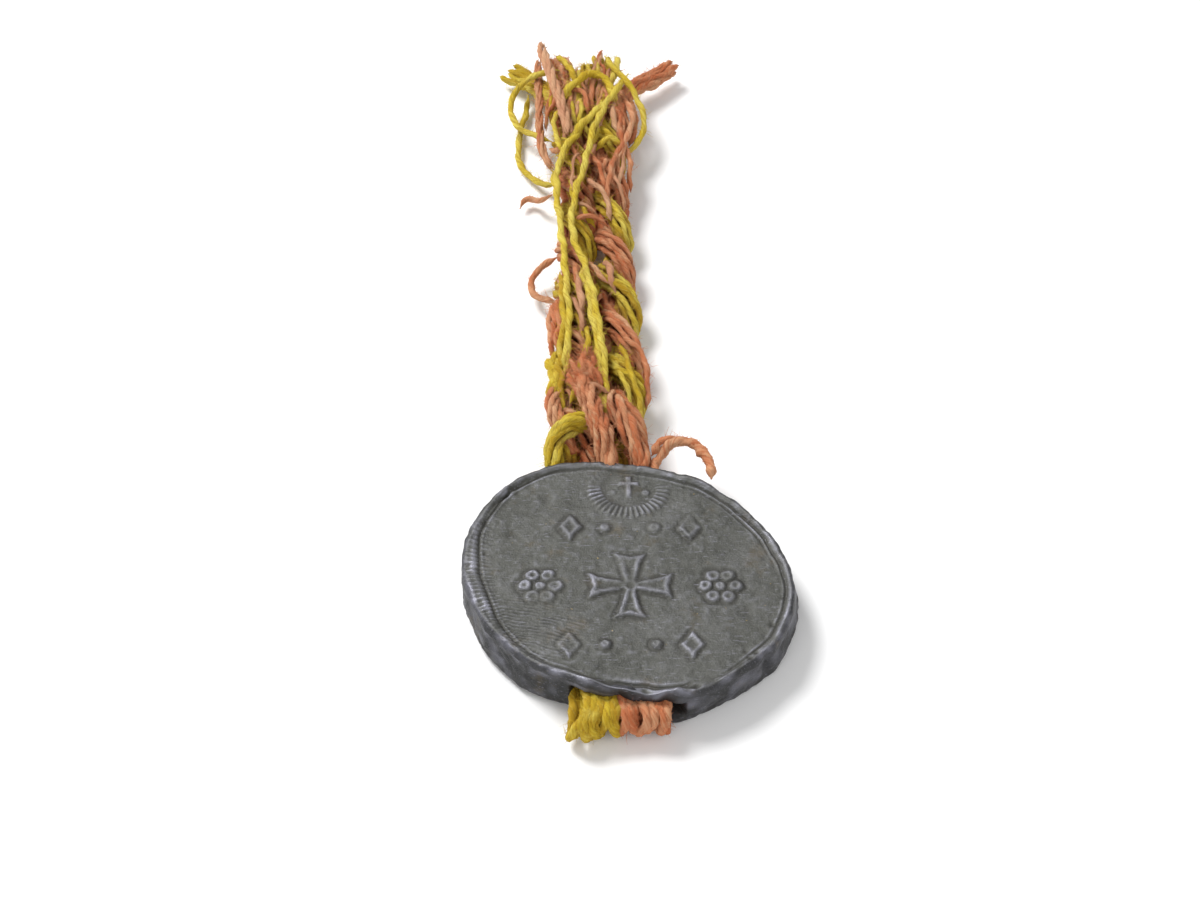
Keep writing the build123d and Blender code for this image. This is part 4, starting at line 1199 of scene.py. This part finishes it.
# Stray yarns by finish and body: radius and route of each
STRAYS = {
    "yellow_strays_near": ("yellow", NEAR_BODY, (
        (0.62, ((-9.2, 36.6, 3.6), (-9.7, 34.6, 4.6), (-8.3, 33.2, 5.5), (-8.6, 31.6, 5.5),
                (-9.6, 30.4, 4.8), (-8.8, 28.6, 4.4), (-7.8, 27.8, 4.0))),
        (0.56, ((-8.4, 37.2, 4.8), (-9.0, 35.0, 5.3), (-9.5, 33.0, 4.8), (-8.4, 31.0, 5.5),
                (-9.0, 29.4, 4.8), (-8.2, 28.2, 4.2))),
        (0.5, ((-7.9, 35.6, 5.3), (-8.7, 33.8, 5.7), (-7.7, 32.0, 5.8), (-8.4, 30.2, 5.6),
               (-7.4, 28.9, 4.8))),
        (0.5, ((-8.1, 32.8, 5.2), (-8.1, 36.6, 6.2), (-7.6, 41.0, 6.3), (-8.0, 46.0, 6.2),
               (-8.2, 50.0, 6.0))),
        (0.5, ((-2.8, 24.8, 4.9), (-3.2, 29.6, 6.2), (-3.2, 35.0, 6.3), (-4.1, 41.0, 6.3),
               (-4.7, 46.4, 6.2), (-5.6, 50.6, 6.0))),
        (0.42, ((-6.8, 27.4, 5.4), (-6.0, 30.0, 6.3), (-5.6, 33.4, 6.4), (-4.6, 37.2, 6.3),
                (-4.8, 41.0, 5.6))),
        (0.4, ((-8.9, 35.8, 4.3), (-7.9, 33.0, 5.6), (-8.5, 30.6, 5.2), (-7.4, 28.2, 5.0),
               (-8.2, 26.0, 4.2))),
        (0.38, ((-8.4, 41.5, 4.6), (-7.2, 38.6, 6.1), (-6.9, 35.0, 6.1), (-7.7, 31.8, 5.6))),
        (0.42, ((-0.7, 38.0, 5.2), (0.0, 34.4, 6.0), (1.2, 30.6, 5.6), (1.9, 26.4, 4.6),
                (1.7, 23.2, 4.0))),
        (0.36, ((-1.4, 36.8, 4.6), (-0.9, 32.8, 5.7), (0.3, 29.2, 5.7), (0.9, 26.2, 4.8))),
    )),
    "red_strays_near": ("red", NEAR_BODY, (
        (0.5, ((-8.2, 46.4, 4.8), (-8.7, 44.0, 5.7), (-8.1, 41.0, 6.1), (-8.7, 38.4, 5.4),
               (-8.2, 36.8, 4.8))),
        (0.5, ((-9.0, 46.0, 3.4), (-9.6, 43.4, 4.2), (-9.5, 40.4, 4.4), (-9.1, 38.2, 3.6))),
        (0.46, ((-9.0, 46.8, 3.6), (-9.3, 44.0, 4.6), (-8.7, 40.8, 5.6), (-9.3, 38.0, 4.4),
                (-8.8, 36.0, 3.6))),
        (0.4, ((-8.6, 45.0, 4.6), (-8.4, 42.4, 5.6), (-7.8, 39.8, 5.8), (-8.6, 37.2, 5.0))),
        (0.42, ((-7.0, 53.6, 4.5), (-6.6, 51.8, 5.6), (-6.0, 49.2, 5.8), (-6.2, 46.6, 5.3))),
        (0.4, ((-4.7, 52.6, 5.0), (-4.1, 51.2, 6.1), (-3.4, 49.6, 6.3), (-2.2, 48.2, 5.6))),
        (0.42, ((-0.5, 39.6, 5.0), (1.2, 37.4, 5.8), (2.6, 34.4, 5.2), (2.8, 31.2, 4.2),
                (2.4, 28.4, 3.6))),
    )),
    "pale_strays_near": ("pale", NEAR_BODY, (
        (0.5, ((-2.9, 52.8, 5.2), (-2.1, 51.0, 6.1), (-1.7, 49.0, 5.9), (-1.2, 47.2, 5.0))),
        (0.34, ((-6.6, 30.2, 6.2), (-5.2, 29.2, 7.1), (-3.4, 28.9, 7.1), (-1.8, 28.2, 6.3))),
        (0.3, ((-6.3, 31.6, 6.4), (-4.8, 31.0, 7.1), (-3.0, 30.6, 6.6), (-2.2, 30.0, 5.8))),
        (0.36, ((-6.8, 45.4, 6.0), (-6.0, 43.8, 6.6), (-5.6, 41.8, 6.6), (-5.4, 39.6, 6.1))),
    )),
    "yellow_strays_far": ("yellow", FAR_BODY, (
        (0.62, ((-8.8, 83.0, 5.6), (-7.6, 84.4, 6.7), (-6.0, 86.2, 7.0), (-4.4, 87.9, 7.0),
                (-2.9, 87.2, 6.9), (-1.6, 84.8, 6.4), (-0.9, 82.6, 5.4))),
        (0.62, ((-2.2, 82.6, 5.6), (-3.2, 81.3, 6.4), (-4.6, 79.4, 6.6), (-5.6, 77.6, 6.4),
                (-7.2, 75.0, 6.0))),
        (0.4, ((-6.0, 84.4, 5.4), (-5.6, 82.3, 6.1), (-6.0, 80.0, 6.0), (-5.7, 78.2, 5.4))),
        (0.5, ((-3.7, 74.2, 5.0), (-2.6, 75.7, 6.0), (-1.2, 76.0, 5.8), (-0.3, 74.6, 4.8))),
        (0.45, ((-5.7, 64.0, 5.0), (-5.4, 62.0, 5.9), (-4.7, 60.6, 5.5), (-3.8, 59.6, 4.7))),
        (0.42, ((-8.9, 82.8, 4.8), (-9.4, 79.6, 5.2), (-9.0, 76.2, 5.4), (-8.3, 73.4, 5.6))),
        (0.36, ((-9.4, 70.8, 4.4), (-9.1, 66.2, 5.4), (-8.4, 62.0, 5.6), (-8.2, 59.2, 5.2))),
        (0.5, ((-9.2, 94.4, 4.0), (-7.4, 91.2, 5.6), (-6.8, 88.2, 5.9), (-5.9, 85.6, 5.4))),
        (0.5, ((-1.0, 94.6, 3.8), (-0.6, 91.2, 5.4), (-1.4, 88.0, 6.0), (-2.6, 85.4, 5.4))),
    )),
    "red_strays_far": ("red", FAR_BODY, (
        (0.42, ((-7.4, 85.9, 5.2), (-6.4, 85.2, 6.3), (-5.4, 84.2, 6.4), (-4.9, 82.4, 6.1),
                (-4.8, 80.8, 5.2))),
        (0.5, ((-4.0, 90.6, 4.6), (-4.1, 87.4, 5.9), (-4.3, 84.6, 5.9), (-4.6, 81.8, 5.0))),
        (0.5, ((-0.8, 87.0, 4.4), (0.6, 83.6, 5.4), (1.2, 80.4, 5.2), (0.6, 76.8, 5.2), (-0.6, 74.2, 5.2),
               (-1.5, 71.4, 4.8))),
        (0.46, ((0.4, 86.0, 4.0), (1.6, 82.4, 4.6), (1.6, 79.2, 4.4), (0.6, 76.2, 4.0))),
        (0.4, ((-4.5, 74.0, 5.0), (-3.9, 71.6, 5.9), (-3.0, 68.8, 6.0), (-2.4, 66.2, 5.3))),
        (0.42, ((-0.4, 75.4, 5.0), (-1.2, 71.8, 6.0), (-1.8, 69.2, 6.1), (-2.4, 66.4, 5.6),
                (-2.2, 63.0, 4.8))),
        (0.4, ((-6.9, 60.9, 5.0), (-6.0, 60.6, 5.9), (-4.6, 60.3, 6.1), (-3.2, 60.0, 5.7),
               (-2.2, 59.4, 5.0))),
        (0.44, ((-9.9, 76.2, 3.4), (-9.3, 74.8, 4.4), (-8.0, 74.4, 5.2), (-7.0, 73.2, 5.0))),
    )),
    "pale_strays_far": ("pale", FAR_BODY, (
        (0.46, ((-1.6, 84.4, 4.8), (-1.5, 82.0, 5.8), (-1.4, 79.8, 5.8), (-0.8, 77.6, 5.0))),
        (0.42, ((-5.0, 68.7, 5.2), (-4.2, 66.9, 6.1), (-2.9, 65.0, 6.1), (-2.0, 62.9, 5.6),
                (-1.7, 60.8, 4.8))),
        (0.24, ((-5.4, 72.6, 6.0), (-6.4, 71.8, 6.5), (-6.9, 69.6, 6.5), (-6.8, 66.6, 6.2),
                (-6.4, 64.6, 5.8))),
        (0.3, ((-6.6, 62.9, 5.6), (-5.4, 62.6, 6.1), (-4.3, 61.9, 6.1), (-3.4, 61.0, 5.5))),
        (0.5, ((-3.2, 92.6, 4.2), (-3.0, 89.2, 5.4), (-3.3, 86.0, 5.6), (-3.6, 83.4, 5.0))),
    )),
}

# Torn, ragged ends beside the middle hank: radius and route
TUFTS = (
    (0.5, ((-5.9, 28.6, 6.4), (-5.5, 32.2, 6.75), (-4.9, 36.2, 6.3))),
    (0.42, ((-7.2, 34.6, 6.0), (-6.3, 32.6, 6.7), (-5.2, 30.0, 6.9), (-4.7, 28.6, 6.9))),
    (0.42, ((-5.5, 34.4, 6.3), (-4.2, 32.4, 6.9), (-3.3, 30.2, 6.8), (-3.0, 28.2, 6.5))),
    (0.38, ((-6.9, 32.4, 6.2), (-6.8, 30.4, 6.7), (-6.0, 28.4, 6.8), (-5.4, 26.8, 6.8))),
    (0.36, ((-4.2, 35.2, 6.0), (-3.9, 33.6, 6.7), (-4.4, 31.4, 7.0), (-3.9, 29.6, 7.1))),
    (0.3, ((-7.4, 30.8, 5.7), (-6.4, 31.4, 6.7), (-5.4, 31.2, 7.1), (-4.6, 31.9, 7.1))),
)


def make_hanks():
    """Bundles of yarn that swell out of the mouth and go under the plies further on.

    Yarn k of n circles the bundle's middle at the angle 2 pi (k / n + s / twist).
    """
    for seed, (label, (finish, yarns, spread, twist, route)) in enumerate(HANKS.items()):
        skein = Skein(550 + seed)
        middle = even(curve_line(label, route), 0.2)
        first, second = frames(middle, UP)
        along = np.linspace(0, line_length(middle), len(middle))
        near_end = np.minimum(ease(0, 3.0, along), ease(0, 3.0, along[-1] - along))
        for number in range(yarns):
            phase = skein.random.uniform(0, 6.28, 2)
            turn = 2 * math.pi * (number / yarns + along / twist) + 0.3 * np.sin(along * 0.5 + phase[0])
            away = spread * (0.55 + 0.45 * near_end) * (1 + 0.15 * np.sin(along * 0.8 + phase[1]))
            line = middle + first * (away * np.cos(turn))[:, None]
            line = line + second * (0.85 * away * np.sin(turn))[:, None]
            radius = 0.42 * skein.random.uniform(0.85, 1.15)
            skein.yarn(line, radius, side=UP, hairs=6.5, tone=skein.random.uniform(0.3, 0.95))
        # Line round which the painted recess shade is worked out.
        skein.cores = [(middle, spread * 0.8, spread + 0.4)]
        piece = skein.piece(label, yarn_finish(finish))
        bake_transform(piece)


def tangle(seed, amount, low, high, spread, right):
    """Random short yarns that wind over the legs: five stations each, z from the legs' round tops."""
    random = np.random.default_rng(seed)
    shifts, places = zip(*LEG_STATIONS)
    strays = []
    for _ in range(amount):
        length = random.uniform(6, 12)
        start = random.uniform(low, high - length)
        across = random.uniform(-spread, right)
        lean = random.uniform(-2.4, 2.4)
        deeper = random.uniform(0.0, 0.5)
        route = []
        for part in np.linspace(0, 1, 5):
            y = start + part * length
            x = across + lean * (part - 0.5) + random.uniform(-0.7, 0.7)
            x = np.clip(x, -spread - 0.4, right + 0.4)
            top = PLAIT_Z + math.sqrt(max(8.2 - (abs(x) - 2.7) ** 2, 1.0)) + 0.1 - deeper
            z = top - 1.3 * (part in (0.0, 1.0))
            route.append((MOUTH_X + float(np.interp(y, places, shifts)) + x, y, z))
        strays.append((random.uniform(0.24, 0.42), route))
    return strays


def between_legs(spans):
    """Yarns low in the gap between the two legs, one route of stations for each span and place."""
    shifts, places = zip(*LEG_STATIONS)
    strays = []
    for low, high in spans:
        for across, height in ((-1.0, 2.3), (-0.3, 3.0), (0.4, 2.2), (1.1, 2.9)):
            route = []
            for y in np.linspace(low, high, 6):
                sway = 0.3 * math.sin(y + 9 * across)
                route.append((MOUTH_X + float(np.interp(y, places, shifts)) + across + sway, y, height))
            strays.append((0.62, route))
    return strays


# Stretches along the cord that the yarns between the legs fill, by group
DEEP = {
    "red_strays_near": ((23.0, 40.0), (36.0, 53.5)),
    "red_strays_far": ((58.5, 77.0), (73.0, 93.0)),
}

# Random yarns of each group: seed, how many, from y, to y, farthest to the left and to the right
TANGLES = {
    "yellow_strays_near": ((701, 7, 27, 52, 4.9, 0.2),),
    "red_strays_near": ((702, 9, 26, 52, 4.9, 0.2),),
    "pale_strays_near": ((703, 4, 28, 52, 4.4, 0.0),),
    "yellow_strays_far": ((704, 9, 60, 90, 4.6, 1.6), (705, 10, 76, 96, 5.4, 5.4)),
    "red_strays_far": ((706, 7, 60, 90, 4.6, 1.0), (716, 9, 60, 90, -1.4, 4.8), (707, 12, 76, 96, 5.4, 5.4)),
    "pale_strays_far": ((708, 5, 60, 90, 3.2, 4.2), (709, 4, 76, 96, 4.6, 4.6)),
}


def make_strays():
    """Short yarns that have worked loose and cross the legs."""
    for seed, (label, (finish, body, strays)) in enumerate(STRAYS.items()):
        skein = Skein(600 + seed)
        wound = [stray for given in TANGLES[label] for stray in tangle(*given)]
        for radius, route in list(strays) + wound:
            skein.yarn(curve_line(label, route), 0.85 * radius, side=UP, taper=(1.2, 1.2), wander=0.1,
                       hairs=6.0, lay=skein.random.uniform(3.0, 5.0))
        for radius, route in between_legs(DEEP.get(label, ())):
            # The darkest tone is painted shade low in the gap between the legs.
            skein.yarn(curve_line(label, route), radius, wander=0.12, hairs=1.5, tone=0.0)
        piece = skein.piece(label, yarn_finish(finish))
        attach(piece, body)


# Undone ends of the plies by node: finish, route and spread
FRAYED = {
    "yellow_frayed_end_left": ("yellow", (
        (-8.4, 84.5, 3.4), (-10.9, 89.0, 2.6), (-13.0, 91.5, 2.0), (-16.2, 95.0, 1.5)), 1.9),
    "red_frayed_end_left": ("red", (
        (-8.0, 84.5, 4.2), (-8.6, 88.0, 4.2), (-8.4, 90.6, 4.0), (-8.9, 95.0, 3.4)), 1.5),
    "yellow_frayed_end_right": ("yellow", (
        (-3.4, 84.5, 4.0), (-3.2, 88.0, 4.0), (-3.6, 90.6, 3.8), (-3.2, 95.0, 3.2)), 2.6),
    "red_frayed_end_right": ("red", (
        (-0.9, 84.5, 3.4), (0.3, 88.1, 3.2), (2.6, 90.4, 2.8), (7.4, 94.8, 2.2)), 0.9),
}


FRAYED_YARNS = 12
FRAYED_RADIUS = 0.75


def make_frayed_ends():
    """The undone ends of the plies: yarns that spread out from a common line."""
    for seed, (label, (finish, route, spread)) in enumerate(FRAYED.items()):
        skein = Skein(500 + seed)
        middle = even(curve_line(label, route), 0.3)
        first, second = frames(middle, UP)
        part = np.linspace(0, 1, len(middle))
        for number in range(FRAYED_YARNS):
            turn = 2 * math.pi * number / FRAYED_YARNS + skein.random.uniform(-0.3, 0.3) + 1.2 * part
            away = FRAYED_RADIUS + (spread - FRAYED_RADIUS) * part ** 1.3 * skein.random.uniform(0.4, 1.0)
            line = middle + second * (away * np.cos(turn))[:, None]
            line = line + first * (FRAYED_RADIUS * np.sin(turn))[:, None]
            cut = int(len(line) * skein.random.uniform(0.86, 1.0))
            skein.yarn(line[:cut], skein.random.uniform(0.3, 0.48), side=UP, taper=(0, 0.6),
                       wander=0.12, hairs=6.5)
        piece = skein.piece(label + "_yarns", yarn_finish(finish))
        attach(piece, FAR_BODY)
        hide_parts(label)


# The stage in metres: half the floor's side, and the camera's aim and distance; its lens is in
# millimetres and its height angle in degrees
FLOOR_HALF = 1.6
CAMERA_AIM = (-0.0032, 0.02484, 0.0)
CAMERA_DISTANCE = 0.380
CAMERA_LENS = 93.24
CAMERA_ELEVATION = 47

# Soft lamps: name, place, diameter and power
LAMPS = (
    ("key", (-0.35, 0.35, 0.55), 0.35, 6.0),
    ("fill", (0.5, -0.35, 0.45), 0.6, 1.4),
    ("front", (-0.25, -0.6, 0.35), 0.5, 1.2),
)


def make_stage():
    """Pale floor, soft lights and the camera at the photograph's viewing angle."""
    corners = np.array([(-1, -1, 0), (1, -1, 0), (1, 1, 0), (-1, 1, 0)]) * FLOOR_HALF / MM
    material, _, shader = new_material("pale_floor")
    shader.inputs["Base Color"].default_value = (0.95, 0.95, 0.95, 1)
    shader.inputs["Roughness"].default_value = 0.9
    floor = new_piece("floor", corners, np.array([[0, 1, 2, 3]]), np.empty((0, 3), int), material)
    elevation = math.radians(CAMERA_ELEVATION)
    away = CAMERA_DISTANCE * np.array((0, -math.cos(elevation), math.sin(elevation)))
    camera = bpy.data.objects.new("camera", bpy.data.cameras.new("camera"))
    camera.location = np.array(CAMERA_AIM) + away
    camera.rotation_euler = (math.pi / 2 - elevation, 0, 0)
    camera.data.lens = CAMERA_LENS
    camera.data.sensor_width = 36
    camera.data.clip_start = 0.01
    bpy.context.scene.collection.objects.link(camera)
    bpy.context.scene.camera = camera
    look = bpy.context.scene.bulla_stage
    for name, place, wide, power in LAMPS:
        data = bpy.data.lights.new(name, "AREA")
        data.shape = "DISK"
        data.size = wide
        data.energy = power * look.light
        lamp = bpy.data.objects.new(name, data)
        lamp.location = place
        aim = np.array((0.0, 0.02, 0.0)) - np.array(place)
        tilt = math.atan2(math.hypot(aim[0], aim[1]), -aim[2])
        lamp.rotation_euler = (tilt, 0, math.atan2(aim[0], -aim[1]) + math.pi)
        bpy.context.scene.collection.objects.link(lamp)
    world = bpy.data.worlds.new("studio")
    world.use_nodes = True
    world.node_tree.nodes["Background"].inputs[0].default_value = (1, 1, 1, 1)
    world.node_tree.nodes["Background"].inputs[1].default_value = look.ambient
    bpy.context.scene.world = world
    bpy.context.scene.view_settings.view_transform = "Standard"


def tint(name, description, default):
    """Colour setting."""
    return bpy.props.FloatVectorProperty(
        name=name, description=description, default=default, subtype="COLOR", size=3, min=0, max=1)


class BullaLead(bpy.types.PropertyGroup):
    """Relief and colours of the lead."""

    relief: bpy.props.FloatProperty(
        name="Relief height", description="How far the ornament stands up from the field",
        default=0.00034, min=0, max=0.001, precision=5, unit="LENGTH")
    back_relief: bpy.props.FloatProperty(
        name="Back relief height", description="How far the ornament on the back stands up",
        default=0.0003, min=0, max=0.001, precision=5, unit="LENGTH")
    deep: tint("Deep grey", "Darkest grey of the lead", (0.058, 0.059, 0.052))
    grey: tint("Grey", "Main grey of the lead", (0.098, 0.099, 0.089))
    light: tint("Light grey", "Lighter patches", (0.14, 0.14, 0.135))
    wall: tint("Wall", "Grey of the wall", (0.022, 0.022, 0.025))
    # Violet-grey of worn edges, also used for the painted highlights along the rim and raised edges.
    worn: tint("Worn edge", "Violet-grey of rubbed edges", (0.3, 0.3, 0.36))
    # Dark colour of the hollows, also used for the painted shade low on the wall and in the openings.
    hollow: tint("Hollows", "Dark dust in hollows", (0.04, 0.038, 0.033))
    brown: tint("Brown stain", "Brown stains", (0.095, 0.075, 0.045))
    ochre: tint("Ochre speck", "Ochre specks", (0.33, 0.24, 0.09))


class BullaYellow(bpy.types.PropertyGroup):
    """Colours of the yellow yarn."""

    shade: tint("Shade", "Between the strands", (0.23, 0.09, 0.004))
    deep: tint("Deep", "Deepest yellow", (0.46, 0.27, 0.007))
    main: tint("Main", "Main yellow", (0.66, 0.48, 0.022))
    pale: tint("Pale", "Faded yellow", (0.74, 0.61, 0.11))


class BullaRed(bpy.types.PropertyGroup):
    """Colours of the faded red yarn."""

    shade: tint("Shade", "Between the strands", (0.27, 0.055, 0.013))
    deep: tint("Deep", "Deepest red", (0.5, 0.125, 0.04))
    main: tint("Main", "Main salmon", (0.64, 0.25, 0.115))
    pale: tint("Pale", "Faded salmon", (0.7, 0.41, 0.23))


class BullaPale(bpy.types.PropertyGroup):
    """Colours of the palest red yarn."""

    shade: tint("Shade", "Between the strands", (0.3, 0.12, 0.05))
    deep: tint("Deep", "Deepest tone", (0.48, 0.22, 0.11))
    main: tint("Main", "Main tone", (0.62, 0.29, 0.165))
    pale: tint("Pale", "Faded tone", (0.7, 0.42, 0.24))


class BullaCord(bpy.types.PropertyGroup):
    """Sizes of the cord."""

    yarn_diameter: bpy.props.FloatProperty(
        name="Yarn diameter", description="Diameter of one spun yarn in the plies",
        default=0.00078, min=0.0004, max=0.002, precision=5, unit="LENGTH")


class BullaStage(bpy.types.PropertyGroup):
    """Light of the stage."""

    light: bpy.props.FloatProperty(
        name="Light", description="Strength of the soft lamps", default=1.0, min=0, max=10)
    ambient: bpy.props.FloatProperty(
        name="Ambient", description="Strength of the white surroundings", default=0.42, min=0, max=5)


class MakeSealFace(bpy.types.Operator):
    """Make the struck face and the wall of the seal"""

    bl_idname = "bulla.seal_face"
    bl_label = "Seal face"

    def execute(self, context):
        piece = make_seal_face(context.scene.bulla_lead.relief / MM)
        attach(piece, SEAL_BODY)
        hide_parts("lead_seal")
        return {"FINISHED"}


class MakeSealBack(bpy.types.Operator):
    """Make the back of the seal"""

    bl_idname = "bulla.seal_back"
    bl_label = "Seal back"

    def execute(self, context):
        piece = make_seal_back(context.scene.bulla_lead.back_relief / MM)
        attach(piece, SEAL_BODY)
        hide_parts("lead_seal")
        return {"FINISHED"}


class LayPlies(bpy.types.Operator):
    """Lay the four plies of the cord"""

    bl_idname = "bulla.plies"
    bl_label = "Plies"

    def execute(self, context):
        for side in ("left", "right"):
            for colour_name in ("yellow", "red"):
                make_ply(side, colour_name)
        return {"FINISHED"}


class ThreadChannelYarns(bpy.types.Operator):
    """Thread the eleven yarns through the lead"""

    bl_idname = "bulla.channel_yarns"
    bl_label = "Channel yarns"

    def execute(self, context):
        make_channel_yarns()
        return {"FINISHED"}


class LayLooseYarns(bpy.types.Operator):
    """Lay the yarns that were pulled out of the plies"""

    bl_idname = "bulla.loose_yarns"
    bl_label = "Loose yarns"

    def execute(self, context):
        make_loose_yarns()
        return {"FINISHED"}


class ShapeHanks(bpy.types.Operator):
    """Shape the hanks that swell out of the mouth"""

    bl_idname = "bulla.hanks"
    bl_label = "Hanks at the mouth"

    def execute(self, context):
        make_hanks()
        return {"FINISHED"}


class ScatterStrays(bpy.types.Operator):
    """Lay the short stray yarns across the legs"""

    bl_idname = "bulla.strays"
    bl_label = "Stray yarns"

    def execute(self, context):
        make_strays()
        return {"FINISHED"}


class FrayEnds(bpy.types.Operator):
    """Spread the undone ends of the plies"""

    bl_idname = "bulla.frayed_ends"
    bl_label = "Frayed ends"

    def execute(self, context):
        make_frayed_ends()
        return {"FINISHED"}


class SetStage(bpy.types.Operator):
    """Set the floor, the lights and the camera"""

    bl_idname = "bulla.stage"
    bl_label = "Stage"

    def execute(self, context):
        make_stage()
        return {"FINISHED"}


class BullaPanel(bpy.types.Panel):
    """Lists the seal's pieces and their settings"""

    bl_idname = "VIEW3D_PT_bulla"
    bl_label = "Papal bulla seal"
    bl_space_type = "VIEW_3D"
    bl_region_type = "UI"
    bl_category = "Bulla"

    def draw(self, context):
        """Buttons for the pieces, then their settings."""
        for operator in OPERATORS:
            self.layout.operator(operator.bl_idname)
        for label, group in SETTINGS.items():
            box = self.layout.box()
            for setting in group.__annotations__:
                box.prop(getattr(context.scene, label), setting)


OPERATORS = (MakeSealFace, MakeSealBack, LayPlies, ThreadChannelYarns, LayLooseYarns, ShapeHanks,
             ScatterStrays, FrayEnds, SetStage)
SETTINGS = {
    "bulla_lead": BullaLead,
    "bulla_yellow": BullaYellow,
    "bulla_red": BullaRed,
    "bulla_pale": BullaPale,
    "bulla_cord": BullaCord,
    "bulla_stage": BullaStage,
}


def register():
    """Makes the settings, the operators and the panel known."""
    for label, group in SETTINGS.items():
        bpy.utils.register_class(group)
        setattr(bpy.types.Scene, label, bpy.props.PointerProperty(type=group))
    for operator in OPERATORS:
        bpy.utils.register_class(operator)
    bpy.utils.register_class(BullaPanel)


def unregister():
    """Takes away what register() made known."""
    bpy.utils.unregister_class(BullaPanel)
    for operator in OPERATORS:
        bpy.utils.unregister_class(operator)
    for label, group in SETTINGS.items():
        delattr(bpy.types.Scene, label)
        bpy.utils.unregister_class(group)


def main():
    """Makes the whole seal and its stage."""
    register()
    bpy.ops.bulla.seal_face()
    bpy.ops.bulla.seal_back()
    bpy.ops.bulla.plies()
    bpy.ops.bulla.channel_yarns()
    bpy.ops.bulla.loose_yarns()
    bpy.ops.bulla.hanks()
    bpy.ops.bulla.strays()
    bpy.ops.bulla.frayed_ends()
    bpy.ops.bulla.stage()
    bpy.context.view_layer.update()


if __name__ == "__main__":
    main()
